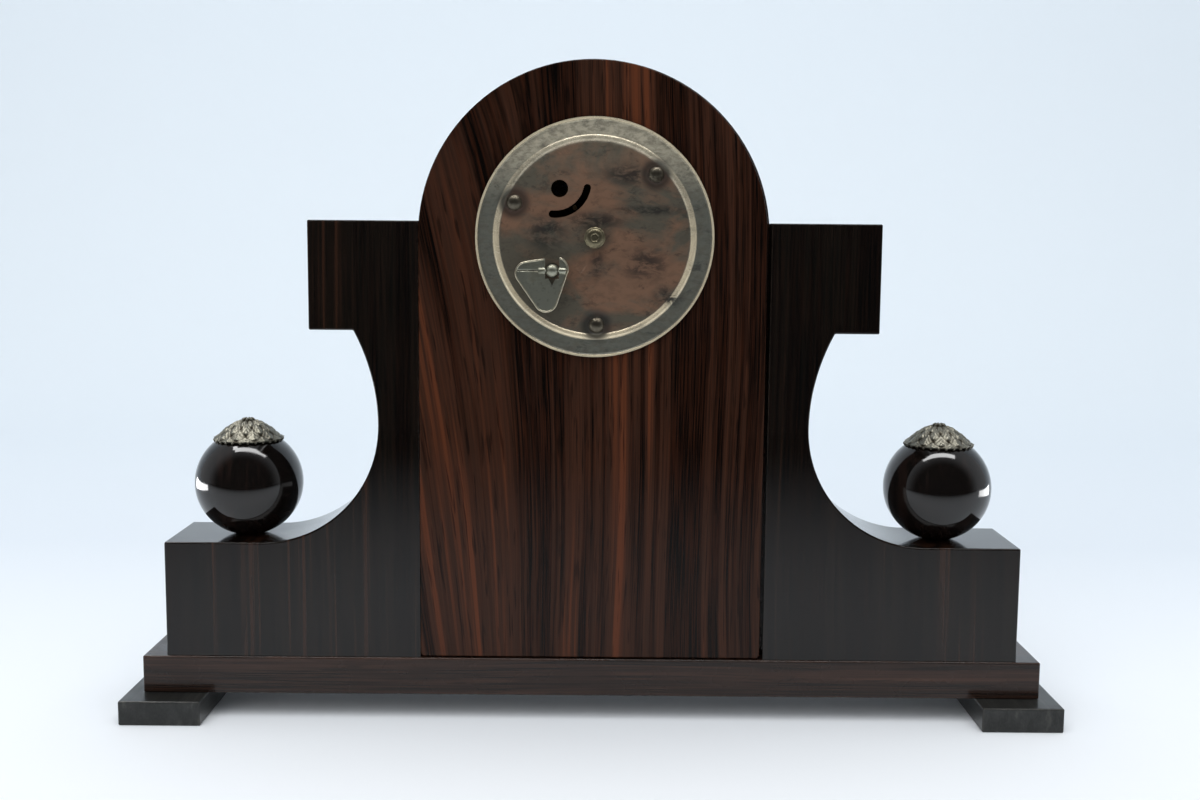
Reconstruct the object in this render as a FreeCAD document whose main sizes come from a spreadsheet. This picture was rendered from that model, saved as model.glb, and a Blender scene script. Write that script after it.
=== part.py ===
"""A mantel clock of the 1930s: an arched centre between two stepped wings, on a plinth with two feet.

The dial faces -Y and the round rear cover faces +Y. X runs along the clock, Z is up, and the origin
is on the ground under the middle of the feet. Pieces of the movement are drawn from the back plane of
the case: their levels are distances in front of that plane, and a negative level stands behind it.
"""

import FreeCAD, Part
import math
import os
import Sketcher

Vector = FreeCAD.Vector
Rotation = FreeCAD.Rotation

# Driving lengths, in millimetres
LENGTHS = {
    # feet, runners from front to back that stand out past the plinth
    "foot_step": 7.2,
    "foot_width": 34.6,
    "foot_end": 12.2,
    "foot_height": 10.5,
    # plinth, which stands out past the shoulders and past the centre's two faces
    "plinth_step": 10.2,
    "plinth_height": 16.2,
    "plinth_proud": 1.0,
    "plinth_lead": 3.0,
    # case outline, in steps outwards from the arch and upwards from the plinth's top
    "arch_radius": 73.5,
    "neck_width": 17.4,
    "lip_lean": 10.0,
    "wing_overhang": 18.6,
    "cove_radius": 50.6,
    "shoulder_margin": 31.7,
    "shoulder_rise": 49.6,
    "cove_climb": 40.4,
    "wing_head": 45.7,
    "wing_setback": 5.3,
    "dial_rise": 179.8,
    "dial_sink": 2.4,
    "front_board": 8.0,
    "back_board": 8.0,
    "hoop_wall": 8.0,
    "sill_height": 8.0,
    "panel_gap": 1.5,
    "panel_foot_gap": 0.5,
    "edge_round": 0.7,
    # wood screws
    "wood_screw_radius": 1.5,
    "wood_screw_head": 3.0,
    "wood_screw_head_height": 2.0,
    "wood_screw_slot": 0.6,
    "foot_screw_length": 20.0,
    "foot_screw_inset": 11.8,
    "foot_screw_half_pitch": 14.0,
    "plinth_screw_length": 34.0,
    "plinth_screw_margin": 18.6,
    "plinth_screw_step": 7.1,
    "panel_corner": 1.7,
    "hoop_screw_length": 22.0,
    "hoop_screw_low": 60.0,
    "hoop_screw_high": 120.0,
    "screw_clearance": 0.15,
    # balls, dowels and caps
    "ball_stand_in": 9.4,
    "ball_radius": 23.2,
    "ball_seat_radius": 5.0,
    "dowel_radius": 3.0,
    "dowel_in_ball": 12.0,
    "dowel_in_wing": 15.0,
    "dowel_clearance": 0.1,
    "cap_gap": 0.15,
    "cap_wall": 1.1,
    "cap_rim_wall": 2.2,
    "cap_rim_height": 1.7,
    "cap_pin_radius": 0.9,
    "cap_pin_length": 9.0,
    "cap_bead_radius": 3.1,
    "cap_bead_top": 3.9,
    # movement can and rear cover
    "can_wall": 0.8,
    "can_clearance": 0.6,
    "cover_overlap": 4.9,
    "cover_wall": 0.9,
    "cover_lip": 1.9,
    "bead_gap": 1.4,
    "bead_inner": 0.7,
    "cover_screw_head": 3.3,
    "cover_screw_head_height": 1.9,
    "knob_hole": 2.2,
    "peep_x": 14.7,
    "peep_z": 20.1,
    "peep_radius": 3.55,
    "slot_radius": 13.5,
    "slot_half_width": 1.5,
    # plates, pillars and posts
    "plate_clearance": 3.2,
    "plate_margin": 0.7,
    "plate_wall": 1.5,
    "back_plate_level": 10.0,
    "plate_spacing": 25.0,
    "pillar_radius": 2.5,
    "post_radius": 3.0,
    "stud_radius": 1.2,
    "stud_length": 5.0,
    "stud_clearance": 0.1,
    "plate_screw_head": 2.6,
    "plate_screw_head_height": 1.2,
    "pivot_radius": 0.35,
    "arbor_radius": 0.5,
    "running_gap": 0.05,
    "end_play": 0.3,
    # going barrel
    "great_module": 0.526,
    "great_wall": 2.0,
    "great_level": 33.5,
    "barrel_room": 1.7775,
    "drum_step": 0.7785,
    "drum_wall": 0.8,
    "drum_height": 15.0,
    "barrel_cap_wall": 1.2,
    "winding_radius": 2.0,
    "winding_hub": 3.0,
    "winding_pivot": 1.2,
    "spring_wall": 0.4,
    "spring_slack": 1.65,
    "spring_play": 0.4,
    # winding end and folding key
    "boss_radius": 2.6,
    "boss_hole_gap": 0.4,
    "boss_start": 1.4,
    "hinge_level": 8.4,
    "boss_dome": 1.8,
    "key_wall": 1.0,
    "key_round": 4.7,
    "key_far_x": 10.4,
    "key_far_z": 1.0,
    "key_near_x": 1.9,
    "key_near_z": 0.9,
    "key_low_x": 2.5,
    "key_low_z": 12.3,
    "key_slot_gap": 0.3,
    "key_slot_foot": 3.3,
    "key_notch_half": 1.4,
    "key_notch_foot": 6.2,
    "knuckle_radius": 1.3,
    "knuckle_reach": 5.6,
    "key_pin_radius": 0.5,
    # ratchet and click
    "ratchet_radius": 7.0,
    "ratchet_depth": 0.8,
    "ratchet_wall": 1.6,
    "ratchet_level": 7.9,
    "click_spot": 11.0,
    "click_wall": 1.4,
    "click_gap": 0.5,
    "click_half_width": 1.1,
    "click_boss": 2.1,
    "click_tail": 4.6,
    "click_screw_radius": 0.9,
    "click_screw_head": 1.7,
    "click_screw_head_height": 1.0,
    "click_spring_wall": 0.4,
    "click_spring_gap": 0.9,
    "click_spring_foot": 5.0,
    # going train
    "wheel_wall": 1.1,
    "pinion_margin": 0.4,
    "centre_module": 0.4,
    "third_module": 0.35,
    "fourth_module": 0.3,
    "centre_wheel_level": 14.8,
    "third_wheel_level": 20.9,
    "fourth_wheel_level": 26.0,
    "centre_pipe_radius": 2.3,
    "centre_arbor_radius": 1.5,
    # escapement and balance
    "escape_radius": 5.5,
    "escape_depth": 1.3,
    "escape_wall": 0.6,
    "escape_level": 18.4,
    "lever_distance": 6.5,
    "lever_wall": 1.0,
    "lever_half_width": 0.6,
    "pallet_gap": 0.55,
    "pallet_length": 1.6,
    "balance_distance": 11.5,
    "fork_gap": 2.3,
    "balance_radius": 10.0,
    "balance_rim": 1.4,
    "balance_wall": 1.2,
    "balance_level": 14.2,
    "balance_arm": 1.0,
    "roller_radius": 2.6,
    "roller_level": 16.7,
    "roller_wall": 0.8,
    "impulse_radius": 0.35,
    "impulse_length": 0.5,
    "fork_clearance": 0.2,
    "staff_radius": 0.7,
    "stone_half_width": 0.35,
    "fork_head_half": 1.3,
    "fork_head_length": 1.6,
    "fork_notch_half": 0.5,
    "fork_notch_depth": 1.1,
    "hairspring_stud": 0.45,
    "cock_screw_spot": 11.2,
    "cock_screw_radius": 0.8,
    "cock_screw_head": 1.5,
    "cock_screw_head_height": 0.9,
    "impulse_spot": 1.9,
    "hairspring_level": 12.4,
    "hairspring_height": 0.8,
    "hairspring_wall": 0.22,
    "hairspring_pitch": 0.62,
    "hairspring_start": 2.0,
    "balance_window": 8.0,
    "cock_wall": 1.5,
    "cock_half_width": 2.4,
    "cock_foot_start": 8.8,
    "cock_foot_end": 13.6,
    "cock_boss": 1.5,
    "regulator_wall": 1.0,
    "regulator_hub": 2.8,
    "regulator_half_width": 0.9,
    "regulator_pin": 0.9,
    "regulator_proud": 1.2,
    "curb_spot": 6.9,
    "curb_radius": 0.35,
    # motion work
    "cannon_module": 0.5,
    "hour_module": 0.4,
    "motion_gap": 0.5,
    "motion_wall": 1.2,
    "hour_step": 1.6,
    "minute_pinion_length": 1.6,
    "front_arbor_radius": 1.1,
    "cannon_pipe": 1.7,
    "hour_pipe": 2.6,
    "minute_stud_radius": 0.8,
    # dial, hands, bezel and glass
    "dial_space": 7.6,
    "dial_wall": 0.8,
    "dial_hole_gap": 0.5,
    "dial_foot_inset": 6.0,
    "dial_foot_radius": 1.2,
    "dial_foot_pin": 0.7,
    "hand_wall": 0.6,
    "hand_gap": 0.7,
    "hour_hand_reach": 23.0,
    "hour_hand_half_width": 2.2,
    "minute_hand_reach": 35.0,
    "minute_hand_half_width": 1.7,
    "hand_hub": 4.0,
    "hand_tail": 8.0,
    "hand_tip": 0.35,
    "nut_radius": 2.4,
    "nut_height": 1.5,
    "knob_radius": 4.5,
    "knob_height": 4.8,
    "knob_level": 2.3,
    "knob_groove": 0.35,
    "knob_bevel": 0.6,
    "bezel_clearance": 1.0,
    "bezel_throat_wall": 2.6,
    "bezel_crest_wall": 2.4,
    "bezel_slope_width": 2.4,
    "bezel_pin_step": 1.4,
    "bezel_rim": 1.8,
    "bezel_edge": 1.0,
    "bezel_pin_radius": 0.6,
    "bezel_pin_depth": 4.0,
    "bezel_pin_length": 7.6,
    "bezel_crest_height": 5.4,
    "bezel_slope_height": 4.8,
    "bezel_throat_height": 0.6,
    "glass_lap": 2.8,
    "glass_wall": 1.3,
    "glass_rise": 4.6,
    "glass_seat": 1.4,
    "glass_gap": 0.2,
    "glass_rest": 2.4,
    "cut_overrun": 1.0,
}

# Numbers of teeth, leaves and like counts
COUNTS = {
    "great_teeth": 72,
    "centre_leaves": 12,
    "centre_teeth": 64,
    "third_leaves": 8,
    "third_teeth": 60,
    "fourth_leaves": 8,
    "fourth_teeth": 60,
    "escape_leaves": 6,
    "escape_teeth": 15,
    "cannon_leaves": 10,
    "minute_teeth": 30,
    "minute_leaves": 10,
    "hour_teeth": 40,
    "ratchet_teeth": 24,
    "wheel_windows": 5,
    "knob_grooves": 20,
    "mainspring_turns": 9,
    "hairspring_turns": 6,
}

# Places round the movement, in degrees from +X towards +Z
ANGLES = {
    "barrel": -38.0,
    "third": 142.5,
    "fourth": 72.3,
    "escape": 33.0,
    "lever": -43.8,
    "balance": 10.5,
    "minute": 205.0,
    "cock": 150.0,
    "regulator": 233.0,
    "curb": 53.0,
    "slot_start": 191.0,
    "slot_end": 275.0,
    "click_beak": -125.0,
    "pallet_spread": 52.0,
    "cap_rim": 35.5,
    "hour_hand": 145.5,
    "minute_hand": 36.0,
}
COVER_SCREW_ANGLES = (23.0, 134.0, 268.5)
DIAL_FOOT_ANGLES = (60.0, 180.0, 300.0)
BEZEL_PIN_ANGLES = (45.0, 135.0, 225.0, 315.0)

# Tooth forms: height over the pitch circle and depth under it as shares of the module, then the width
# at the foot and at the tip as shares of the pitch
WHEEL_SHARES = (0.75, 1.25, 0.43, 0.20)
LEAF_SHARES = (0.60, 1.20, 0.34, 0.20)
SAW_SHARE = 0.85
WINDOW_SPOT_SHARE = 0.58
WINDOW_RADIUS_SHARE = 0.22

FULL_TURN = 360.0
HALF_TURN = 180.0
QUARTER_TURN = 90.0
NEARLY_ZERO = 1e-6

size = dict(LENGTHS)
doc = FreeCAD.newDocument("mantel_clock")
sheet = doc.addObject("Spreadsheet::Sheet", "Sizes")


def value(terms):
    """Work out a sum of named sizes, such as "plinth_top + wing_rise" or "- neck_reach"."""
    total = 0.0
    sign = 1.0
    for word in terms.split():
        if word in ("+", "-"):
            sign = 1.0 if word == "+" else -1.0
        elif word != "0":
            total += sign * size[word]
            sign = 1.0
    return total


def formula(terms):
    """Write the same sum as an expression on the sheet."""
    return " ".join(word if word in ("+", "-", "0") else "Sizes." + word for word in terms.split())


def flip(terms):
    """The same sum with every sign turned round."""
    swap = {"+": "-", "-": "+"}
    words = terms.split()
    if words[0] not in swap:
        words.insert(0, "+")
    words = [swap.get(word, word) for word in words]
    return " ".join(words[1:] if words[0] == "+" else words)


def same(terms):
    """The sum as it stands, for the side that needs no change of sign."""
    return terms


SIDES = (same, flip)


def polar(radius, degrees):
    """A point at a distance and an angle from the centre, as two plain lengths."""
    turn = math.radians(degrees)
    return radius * math.cos(turn), radius * math.sin(turn)


def add_toothing(name, teeth, module, leaf=False):
    """Add the radii and the gap widths of one toothed ring to the sizes."""
    shares = LEAF_SHARES if leaf else WHEEL_SHARES
    tip_share, root_share, foot_share, top_share = shares
    pitch = teeth * module / 2
    half_pitch = math.pi / teeth
    size[name + "_pitch"] = pitch
    size[name + "_tip"] = pitch + tip_share * module
    size[name + "_root"] = pitch - root_share * module
    size[name + "_gap_root"] = size[name + "_root"] * math.tan(half_pitch * (1 - foot_share))
    size[name + "_gap_tip"] = size[name + "_tip"] * math.tan(half_pitch * (1 - top_share))


def add_spot(name, start, distance, degrees):
    """Add the place of an arbor, seen from the movement's centre, to the sizes."""
    across, rise = polar(distance, degrees)
    size[name + "_x"] = across + (size[start + "_x"] if start else 0.0)
    size[name + "_z"] = rise + (size[start + "_z"] if start else 0.0)


def dome_radius(foot, rise):
    """The radius of a dome from the radius of its foot and its rise."""
    return (foot * foot + rise * rise) / (2 * rise)


def derive_case():
    """The case from the arch outwards, and its depths from the movement's."""
    size["neck_reach"] = value("arch_radius + neck_width")
    size["lip_reach"] = value("neck_reach + lip_lean")
    size["wing_reach"] = value("lip_reach + wing_overhang")
    size["ball_spot"] = value("neck_reach + cove_radius + ball_stand_in")
    size["shoulder_reach"] = value("ball_spot + shoulder_margin")
    size["plinth_reach"] = value("shoulder_reach + plinth_step")
    size["foot_reach"] = value("plinth_reach + foot_step")
    size["foot_screw_spot"] = value("plinth_reach - foot_screw_inset")
    size["plinth_screw_outer"] = value("shoulder_reach - plinth_screw_margin")
    size["plinth_screw_inner"] = value("neck_reach + plinth_screw_step")
    size["centre_depth"] = value("dial_level + dial_sink")
    size["wing_depth"] = value("centre_depth - wing_setback")
    size["plinth_depth"] = value("centre_depth + plinth_proud + plinth_lead")
    size["foot_depth"] = value("plinth_depth + foot_end + foot_end")
    size["foot_half_depth"] = size["foot_depth"] / 2
    size["plinth_back"] = size["plinth_depth"] / 2
    size["case_back"] = value("plinth_back - plinth_proud")
    size["plinth_top"] = value("foot_height + plinth_height")
    size["shoulder_top"] = value("plinth_top + shoulder_rise")
    size["wing_under_rise"] = value("shoulder_rise + cove_radius + cove_climb")
    size["wing_rise"] = value("wing_under_rise + wing_head")
    size["dial_height"] = value("plinth_top + dial_rise")
    size["upper_cove_radius"] = dome_radius(size["cove_climb"], size["lip_lean"])
    size["panel_shift"] = size["panel_gap"] / 2
    size["panel_radius"] = value("arch_radius - panel_shift")
    size["hoop_inner"] = value("arch_radius - hoop_wall")
    size["hoop_depth"] = value("centre_depth - front_board - back_board")
    size["wood_screw_bore"] = value("wood_screw_radius + screw_clearance")
    size["wood_screw_head_bore"] = value("wood_screw_head + screw_clearance")
    size["foot_pilot"] = value("foot_screw_length - foot_height + screw_clearance")
    size["plinth_pilot"] = value("plinth_screw_length - plinth_height + screw_clearance")
    size["hoop_pilot"] = value("hoop_screw_length - hoop_wall + screw_clearance")
    size["half_screw_slot"] = size["wood_screw_slot"] / 2
    size["wing_mid"] = size["case_back"] - size["wing_depth"] / 2
    size["hoop_mid"] = value("case_back - back_board") - size["hoop_depth"] / 2


def derive_balls():
    """Heights on the balls and their caps."""
    ball = size["ball_radius"]
    size["ball_centre"] = math.sqrt(ball ** 2 - size["ball_seat_radius"] ** 2)
    size["pin_bore"] = value("cap_pin_radius + dowel_clearance")
    size["ball_top"] = size["ball_centre"] + math.sqrt(ball ** 2 - size["pin_bore"] ** 2)
    size["dowel_bore"] = value("dowel_radius + dowel_clearance")
    inner = value("ball_radius + cap_gap")
    outer = inner + size["cap_wall"]
    rim = inner + size["cap_rim_wall"]
    turn = math.radians(ANGLES["cap_rim"])
    size["cap_inner_radius"] = inner
    size["cap_outer_radius"] = outer
    size["cap_rim_in_r"] = inner * math.sin(turn)
    size["cap_rim_in_z"] = inner * math.cos(turn)
    size["cap_rim_out_r"] = rim * math.sin(turn)
    size["cap_rim_out_z"] = rim * math.cos(turn)
    size["cap_rim_top_z"] = value("cap_rim_out_z + cap_rim_height")
    size["cap_shoulder_r"] = math.sqrt(outer ** 2 - size["cap_rim_top_z"] ** 2)
    size["cap_bore_in_z"] = math.sqrt(inner ** 2 - size["pin_bore"] ** 2)
    size["cap_bore_out_z"] = math.sqrt(outer ** 2 - size["pin_bore"] ** 2)


def derive_drum():
    """Radii of the drum, the plates, the cover, the bezel and the glass from the barrel's reach."""
    size["drum_radius"] = value("great_root - drum_step")
    size["can_radius"] = value("great_pitch + centre_leaf_pitch + great_tip + barrel_room + can_wall")
    size["can_hole"] = value("can_radius + can_clearance")
    size["plate_radius"] = value("can_radius - can_wall - plate_clearance")
    size["cover_screw_spot"] = value("plate_radius - post_radius - plate_margin")
    size["bead_spot"] = value("cover_screw_spot + cover_screw_head + bead_gap")
    size["cover_radius"] = value("can_hole + cover_overlap")
    size["dial_foot_spot"] = value("plate_radius - dial_foot_inset")
    size["bezel_foot"] = value("can_hole - bezel_clearance")
    size["bezel_inner"] = value("bezel_foot - bezel_throat_wall")
    size["glass_radius"] = value("bezel_inner + glass_lap")
    size["bezel_crest"] = value("glass_radius + glass_gap + bezel_crest_wall")
    size["bezel_slope_spot"] = value("bezel_crest + bezel_slope_width")
    size["bezel_pin_spot"] = value("bezel_slope_spot + bezel_pin_step")
    size["bezel_radius"] = value("bezel_pin_spot + bezel_rim")


def derive_movement():
    """Toothed rings, arbor places and levels of the movement."""
    add_toothing("great", COUNTS["great_teeth"], size["great_module"])
    add_toothing("centre_leaf", COUNTS["centre_leaves"], size["great_module"], leaf=True)
    add_toothing("centre_wheel", COUNTS["centre_teeth"], size["centre_module"])
    add_toothing("third_leaf", COUNTS["third_leaves"], size["centre_module"], leaf=True)
    add_toothing("third_wheel", COUNTS["third_teeth"], size["third_module"])
    add_toothing("fourth_leaf", COUNTS["fourth_leaves"], size["third_module"], leaf=True)
    add_toothing("fourth_wheel", COUNTS["fourth_teeth"], size["fourth_module"])
    add_toothing("escape_leaf", COUNTS["escape_leaves"], size["fourth_module"], leaf=True)
    add_toothing("cannon", COUNTS["cannon_leaves"], size["cannon_module"], leaf=True)
    add_toothing("minute_wheel", COUNTS["minute_teeth"], size["cannon_module"])
    add_toothing("minute_leaf", COUNTS["minute_leaves"], size["hour_module"], leaf=True)
    add_toothing("hour_wheel", COUNTS["hour_teeth"], size["hour_module"])
    derive_drum()
    add_spot("barrel", "", value("great_pitch + centre_leaf_pitch"), ANGLES["barrel"])
    add_spot("third", "", value("centre_wheel_pitch + third_leaf_pitch"), ANGLES["third"])
    add_spot("fourth", "third", value("third_wheel_pitch + fourth_leaf_pitch"), ANGLES["fourth"])
    add_spot("escape", "fourth", value("fourth_wheel_pitch + escape_leaf_pitch"), ANGLES["escape"])
    add_spot("lever", "escape", size["lever_distance"], ANGLES["lever"])
    add_spot("balance", "lever", size["balance_distance"], ANGLES["balance"])
    add_spot("minute", "", value("cannon_pitch + minute_wheel_pitch"), ANGLES["minute"])
    for number, degrees in enumerate(COVER_SCREW_ANGLES):
        add_spot("cover_screw_%d" % number, "", size["cover_screw_spot"], degrees)
    for number, degrees in enumerate(DIAL_FOOT_ANGLES):
        add_spot("dial_foot_%d" % number, "", size["dial_foot_spot"], degrees)
    for number, degrees in enumerate(BEZEL_PIN_ANGLES):
        add_spot("bezel_pin_%d" % number, "", size["bezel_pin_spot"], degrees)
    size["back_plate_front"] = value("back_plate_level + plate_wall")
    size["front_plate_level"] = value("back_plate_front + plate_spacing")
    size["front_plate_front"] = value("front_plate_level + plate_wall")
    size["pivot_hole"] = value("pivot_radius + running_gap")
    size["stud_hole"] = value("stud_radius + stud_clearance")
    size["bead_outer"] = value("bead_inner + cover_wall")
    size["boss_hole"] = value("boss_radius + boss_hole_gap")
    size["key_slot_half"] = value("boss_radius + key_slot_gap")
    size["key_half_wall"] = size["key_wall"] / 2
    size["hour_bore"] = value("cannon_pipe + running_gap")
    size["dial_hole"] = value("hour_pipe + dial_hole_gap")
    size["cock_level"] = value("back_plate_level - cock_wall")
    size["cock_arm_level"] = value("cock_level - cock_wall")
    size["regulator_level"] = value("cock_arm_level - regulator_wall")
    size["dial_level"] = value("front_plate_front + dial_space")
    size["dial_front"] = value("dial_level + dial_wall")
    size["hour_hand_level"] = value("dial_front + hand_gap")
    size["minute_hand_level"] = value("hour_hand_level + hand_wall + hand_gap")
    size["nut_level"] = value("minute_hand_level + hand_wall")


def add_bar(name, start, end, start_half, end_half, base=(0.0, 0.0)):
    """Add the corners of a tapered bar between two places, each (radius, degrees) from the base."""
    (x_start, z_start), (x_end, z_end) = polar(*start), polar(*end)
    across, rise = x_end - x_start, z_end - z_start
    length = math.hypot(across, rise)
    side_x, side_z = -rise / length, across / length
    corners = ((x_start - side_x * start_half, z_start - side_z * start_half),
               (x_end - side_x * end_half, z_end - side_z * end_half),
               (x_end + side_x * end_half, z_end + side_z * end_half),
               (x_start + side_x * start_half, z_start + side_z * start_half))
    for number, (x, z) in enumerate(corners):
        size["%s_%d_x" % (name, number)] = x + base[0]
        size["%s_%d_z" % (name, number)] = z + base[1]


def derive_levels():
    """Bores, levels and domes that follow the movement's driving lengths."""
    size["centre_arbor_hole"] = value("centre_arbor_radius + running_gap")
    size["front_arbor_hole"] = value("front_arbor_radius + running_gap")
    size["winding_hole"] = value("winding_radius + running_gap")
    size["winding_pivot_hole"] = value("winding_pivot + running_gap")
    size["minute_stud_hole"] = value("minute_stud_radius + running_gap")
    size["minute_stud_bore"] = value("minute_stud_radius")
    size["dial_foot_bore"] = value("dial_foot_pin + running_gap")
    size["cock_screw_bore"] = value("cock_screw_radius + running_gap")
    size["click_screw_bore"] = value("click_screw_radius + running_gap")
    size["click_bore"] = value("click_screw_radius + running_gap")
    size["key_pin_bore"] = value("key_pin_radius + running_gap")
    size["bezel_pin_bore"] = value("bezel_pin_radius + running_gap")
    size["regulator_bore"] = value("cock_boss + running_gap")
    size["bead_foot"] = math.sqrt(size["bead_outer"] ** 2 - size["cover_wall"] ** 2)
    size["cover_screw_dome"] = dome_radius(size["cover_screw_head"], size["cover_screw_head_height"])
    size["boss_dome_radius"] = dome_radius(size["boss_radius"], size["boss_dome"])
    size["cap_pin_level"] = value("shoulder_top + ball_centre + cap_bore_out_z")
    bead_middle = value("cap_bead_top - cap_bead_radius")
    size["cap_bead_foot"] = math.sqrt(size["cap_bead_radius"] ** 2 - bead_middle ** 2)
    size["mainspring_level"] = value("great_level - drum_height + spring_play")
    size["mainspring_height"] = value("drum_height - spring_play - spring_play")
    size["mainspring_start"] = value("winding_hub + spring_play + spring_wall")
    size["mainspring_room"] = value("drum_radius - drum_wall - mainspring_start - spring_slack")
    size["spring_pitch"] = size["mainspring_room"] / COUNTS["mainspring_turns"]
    size["winding_hub_level"] = value("great_level - drum_height + end_play")
    size["click_head_level"] = value("ratchet_level - click_screw_head_height")
    size["click_x"] = size["barrel_x"]
    size["click_z"] = value("barrel_z - click_spot")
    size["motion_level"] = value("front_plate_front + motion_gap")
    size["hour_level"] = value("motion_level + motion_wall + hour_step")
    size["lever_level"] = value("roller_level + roller_wall + impulse_length + fork_clearance")
    size["balance_half_arm"] = size["balance_arm"] / 2
    size["balance_arm_reach"] = size["balance_radius"] - size["balance_rim"] / 2
    size["glass_level"] = value("centre_depth + glass_rest")
    size["glass_seat_radius"] = value("glass_radius - glass_wall")
    size["glass_outer_dome"] = dome_radius(size["glass_radius"], size["glass_rise"])
    size["glass_inner_dome"] = dome_radius(size["glass_seat_radius"], size["glass_rise"])


def derive_shapes():
    """Corners of the slot, the saw teeth and the bars of the small pieces."""
    size["slot_outer"] = value("slot_radius + slot_half_width")
    size["slot_inner"] = value("slot_radius - slot_half_width")
    corners = (("slot_a", "slot_inner", "slot_start"), ("slot_b", "slot_outer", "slot_start"),
               ("slot_c", "slot_outer", "slot_end"), ("slot_d", "slot_inner", "slot_end"))
    for corner, radius, angle in corners:
        add_spot(corner, "balance", size[radius], ANGLES[angle])
    for name, teeth in (("ratchet", COUNTS["ratchet_teeth"]), ("escape", COUNTS["escape_teeth"])):
        size[name + "_root"] = size[name + "_radius"] - size[name + "_depth"]
        size[name + "_out"] = value(name + "_radius + cut_overrun")
        size[name + "_step"] = size[name + "_out"] * math.tan(2 * math.pi / teeth * SAW_SHARE)
    for name in ("centre_wheel", "third_wheel", "fourth_wheel"):
        size[name + "_window_spot"] = size[name + "_pitch"] * WINDOW_SPOT_SHARE
        size[name + "_window_radius"] = size[name + "_pitch"] * WINDOW_RADIUS_SHARE
    add_spot("cock_screw_rel", "", size["cock_screw_spot"], ANGLES["cock"])
    add_spot("cock_screw", "balance", size["cock_screw_spot"], ANGLES["cock"])
    add_spot("impulse", "", size["impulse_spot"], ANGLES["balance"] + HALF_TURN)
    add_spot("regulator", "", size["slot_radius"], ANGLES["regulator"])
    add_spot("curb", "", size["curb_spot"], ANGLES["curb"])
    spring_end = value("hairspring_start") + COUNTS["hairspring_turns"] * size["hairspring_pitch"]
    add_spot("stud", "", spring_end + size["hairspring_stud"] + size["hairspring_wall"], ANGLES["cock"])
    half = size["cock_half_width"]
    cock = ANGLES["cock"]
    add_bar("cock_arm", (size["cock_boss"] + half / 2, cock + HALF_TURN),
            (size["cock_foot_end"], cock), half, half)
    add_bar("cock_foot", (size["cock_foot_start"], cock), (size["cock_foot_end"], cock), half, half)
    half = size["regulator_half_width"]
    add_bar("regulator_tail", (size["cock_boss"] + half, ANGLES["regulator"]),
            (size["slot_radius"] + half / 2, ANGLES["regulator"]), half, half)
    add_bar("curb_arm", (size["cock_boss"] + half, ANGLES["curb"]),
            (size["curb_spot"] + half / 2, ANGLES["curb"]), half, half)
    lever, fork = ANGLES["balance"], size["balance_distance"] - size["fork_gap"]
    half = size["lever_half_width"]
    add_bar("lever_tail", (0.0, lever), (fork, lever), half, half)
    add_bar("fork_head", (fork - size["fork_head_length"], lever), (fork, lever), half,
            size["fork_head_half"])
    add_bar("fork_notch", (fork - size["fork_notch_depth"], lever), (fork + size["cut_overrun"], lever),
            size["fork_notch_half"], size["fork_notch_half"])
    back = ANGLES["lever"] + HALF_TURN
    escape_x, escape_z = polar(size["lever_distance"], back)
    for name, side in (("entry", 1), ("exit", -1)):
        degrees = ANGLES["lever"] + side * ANGLES["pallet_spread"] / 2
        outer = size["escape_radius"] + size["pallet_gap"] + size["pallet_length"]
        x, z = polar(outer, degrees)
        reach = math.hypot(x + escape_x, z + escape_z)
        toward = math.degrees(math.atan2(z + escape_z, x + escape_x))
        add_bar("arm_" + name, (0.0, toward), (reach, toward), half, half)
        inner = size["escape_radius"] + size["pallet_gap"]
        add_bar("stone_" + name, (outer + half, degrees), (inner, degrees),
                size["stone_half_width"], size["stone_half_width"], (escape_x, escape_z))
    beak_x, beak_z = polar(size["ratchet_radius"] + size["click_gap"], ANGLES["click_beak"])
    beak_z += size["click_spot"]
    beak = (math.hypot(beak_x, beak_z), math.degrees(math.atan2(beak_z, beak_x)))
    add_bar("beak", (0.0, beak[1]), beak, size["click_half_width"], size["hand_tip"])
    add_bar("tail", (0.0, beak[1] + HALF_TURN), (size["click_tail"], beak[1] + HALF_TURN),
            size["click_half_width"], size["click_half_width"])
    offset = size["click_half_width"] + size["click_spring_gap"]
    turned = beak[1] + HALF_TURN
    side_x, side_z = polar(offset, turned + QUARTER_TURN)
    half = size["click_spring_wall"] / 2
    add_bar("leaf", (size["click_tail"], turned), (size["click_tail"] + size["click_spring_foot"], turned),
            half, half, (side_x, side_z))
    for name, degrees in (("hour_hand", ANGLES["hour_hand"]), ("minute_hand", ANGLES["minute_hand"])):
        add_bar(name, (size["hand_tail"], degrees + HALF_TURN), (size[name + "_reach"], degrees),
                size[name + "_half_width"], size["hand_tip"])


def fill_sheet():
    """Write every size into the sheet as a plain number with its name."""
    for row, (alias, number) in enumerate(size.items(), 1):
        sheet.set("A%d" % row, alias)
        sheet.set("B%d" % row, repr(float(number)))
        sheet.setAlias("B%d" % row, alias)
    doc.recompute()


derive_movement()
derive_case()
derive_balls()
derive_levels()
derive_shapes()
fill_sheet()


def origin_feature(body, role):
    """One of the body's own base planes or axes."""
    return next(feature for feature in body.Origin.OriginFeatures if feature.Role == role)


def place(piece, x="0", y="0", z="0", rotation=None):
    """Put a piece at sums of named sizes."""
    piece.Placement = FreeCAD.Placement(Vector(value(x), value(y), value(z)), rotation or Rotation())
    for axis, terms in (("x", x), ("y", y), ("z", z)):
        if terms != "0":
            piece.setExpression("Placement.Base." + axis, formula(terms))


def new_body(name, x="0", y="0", z="0", rotation=None):
    """An empty body with its label and its place."""
    body = doc.addObject("PartDesign::Body", name)
    body.Label = name
    place(body, x, y, z, rotation)
    return body


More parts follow.
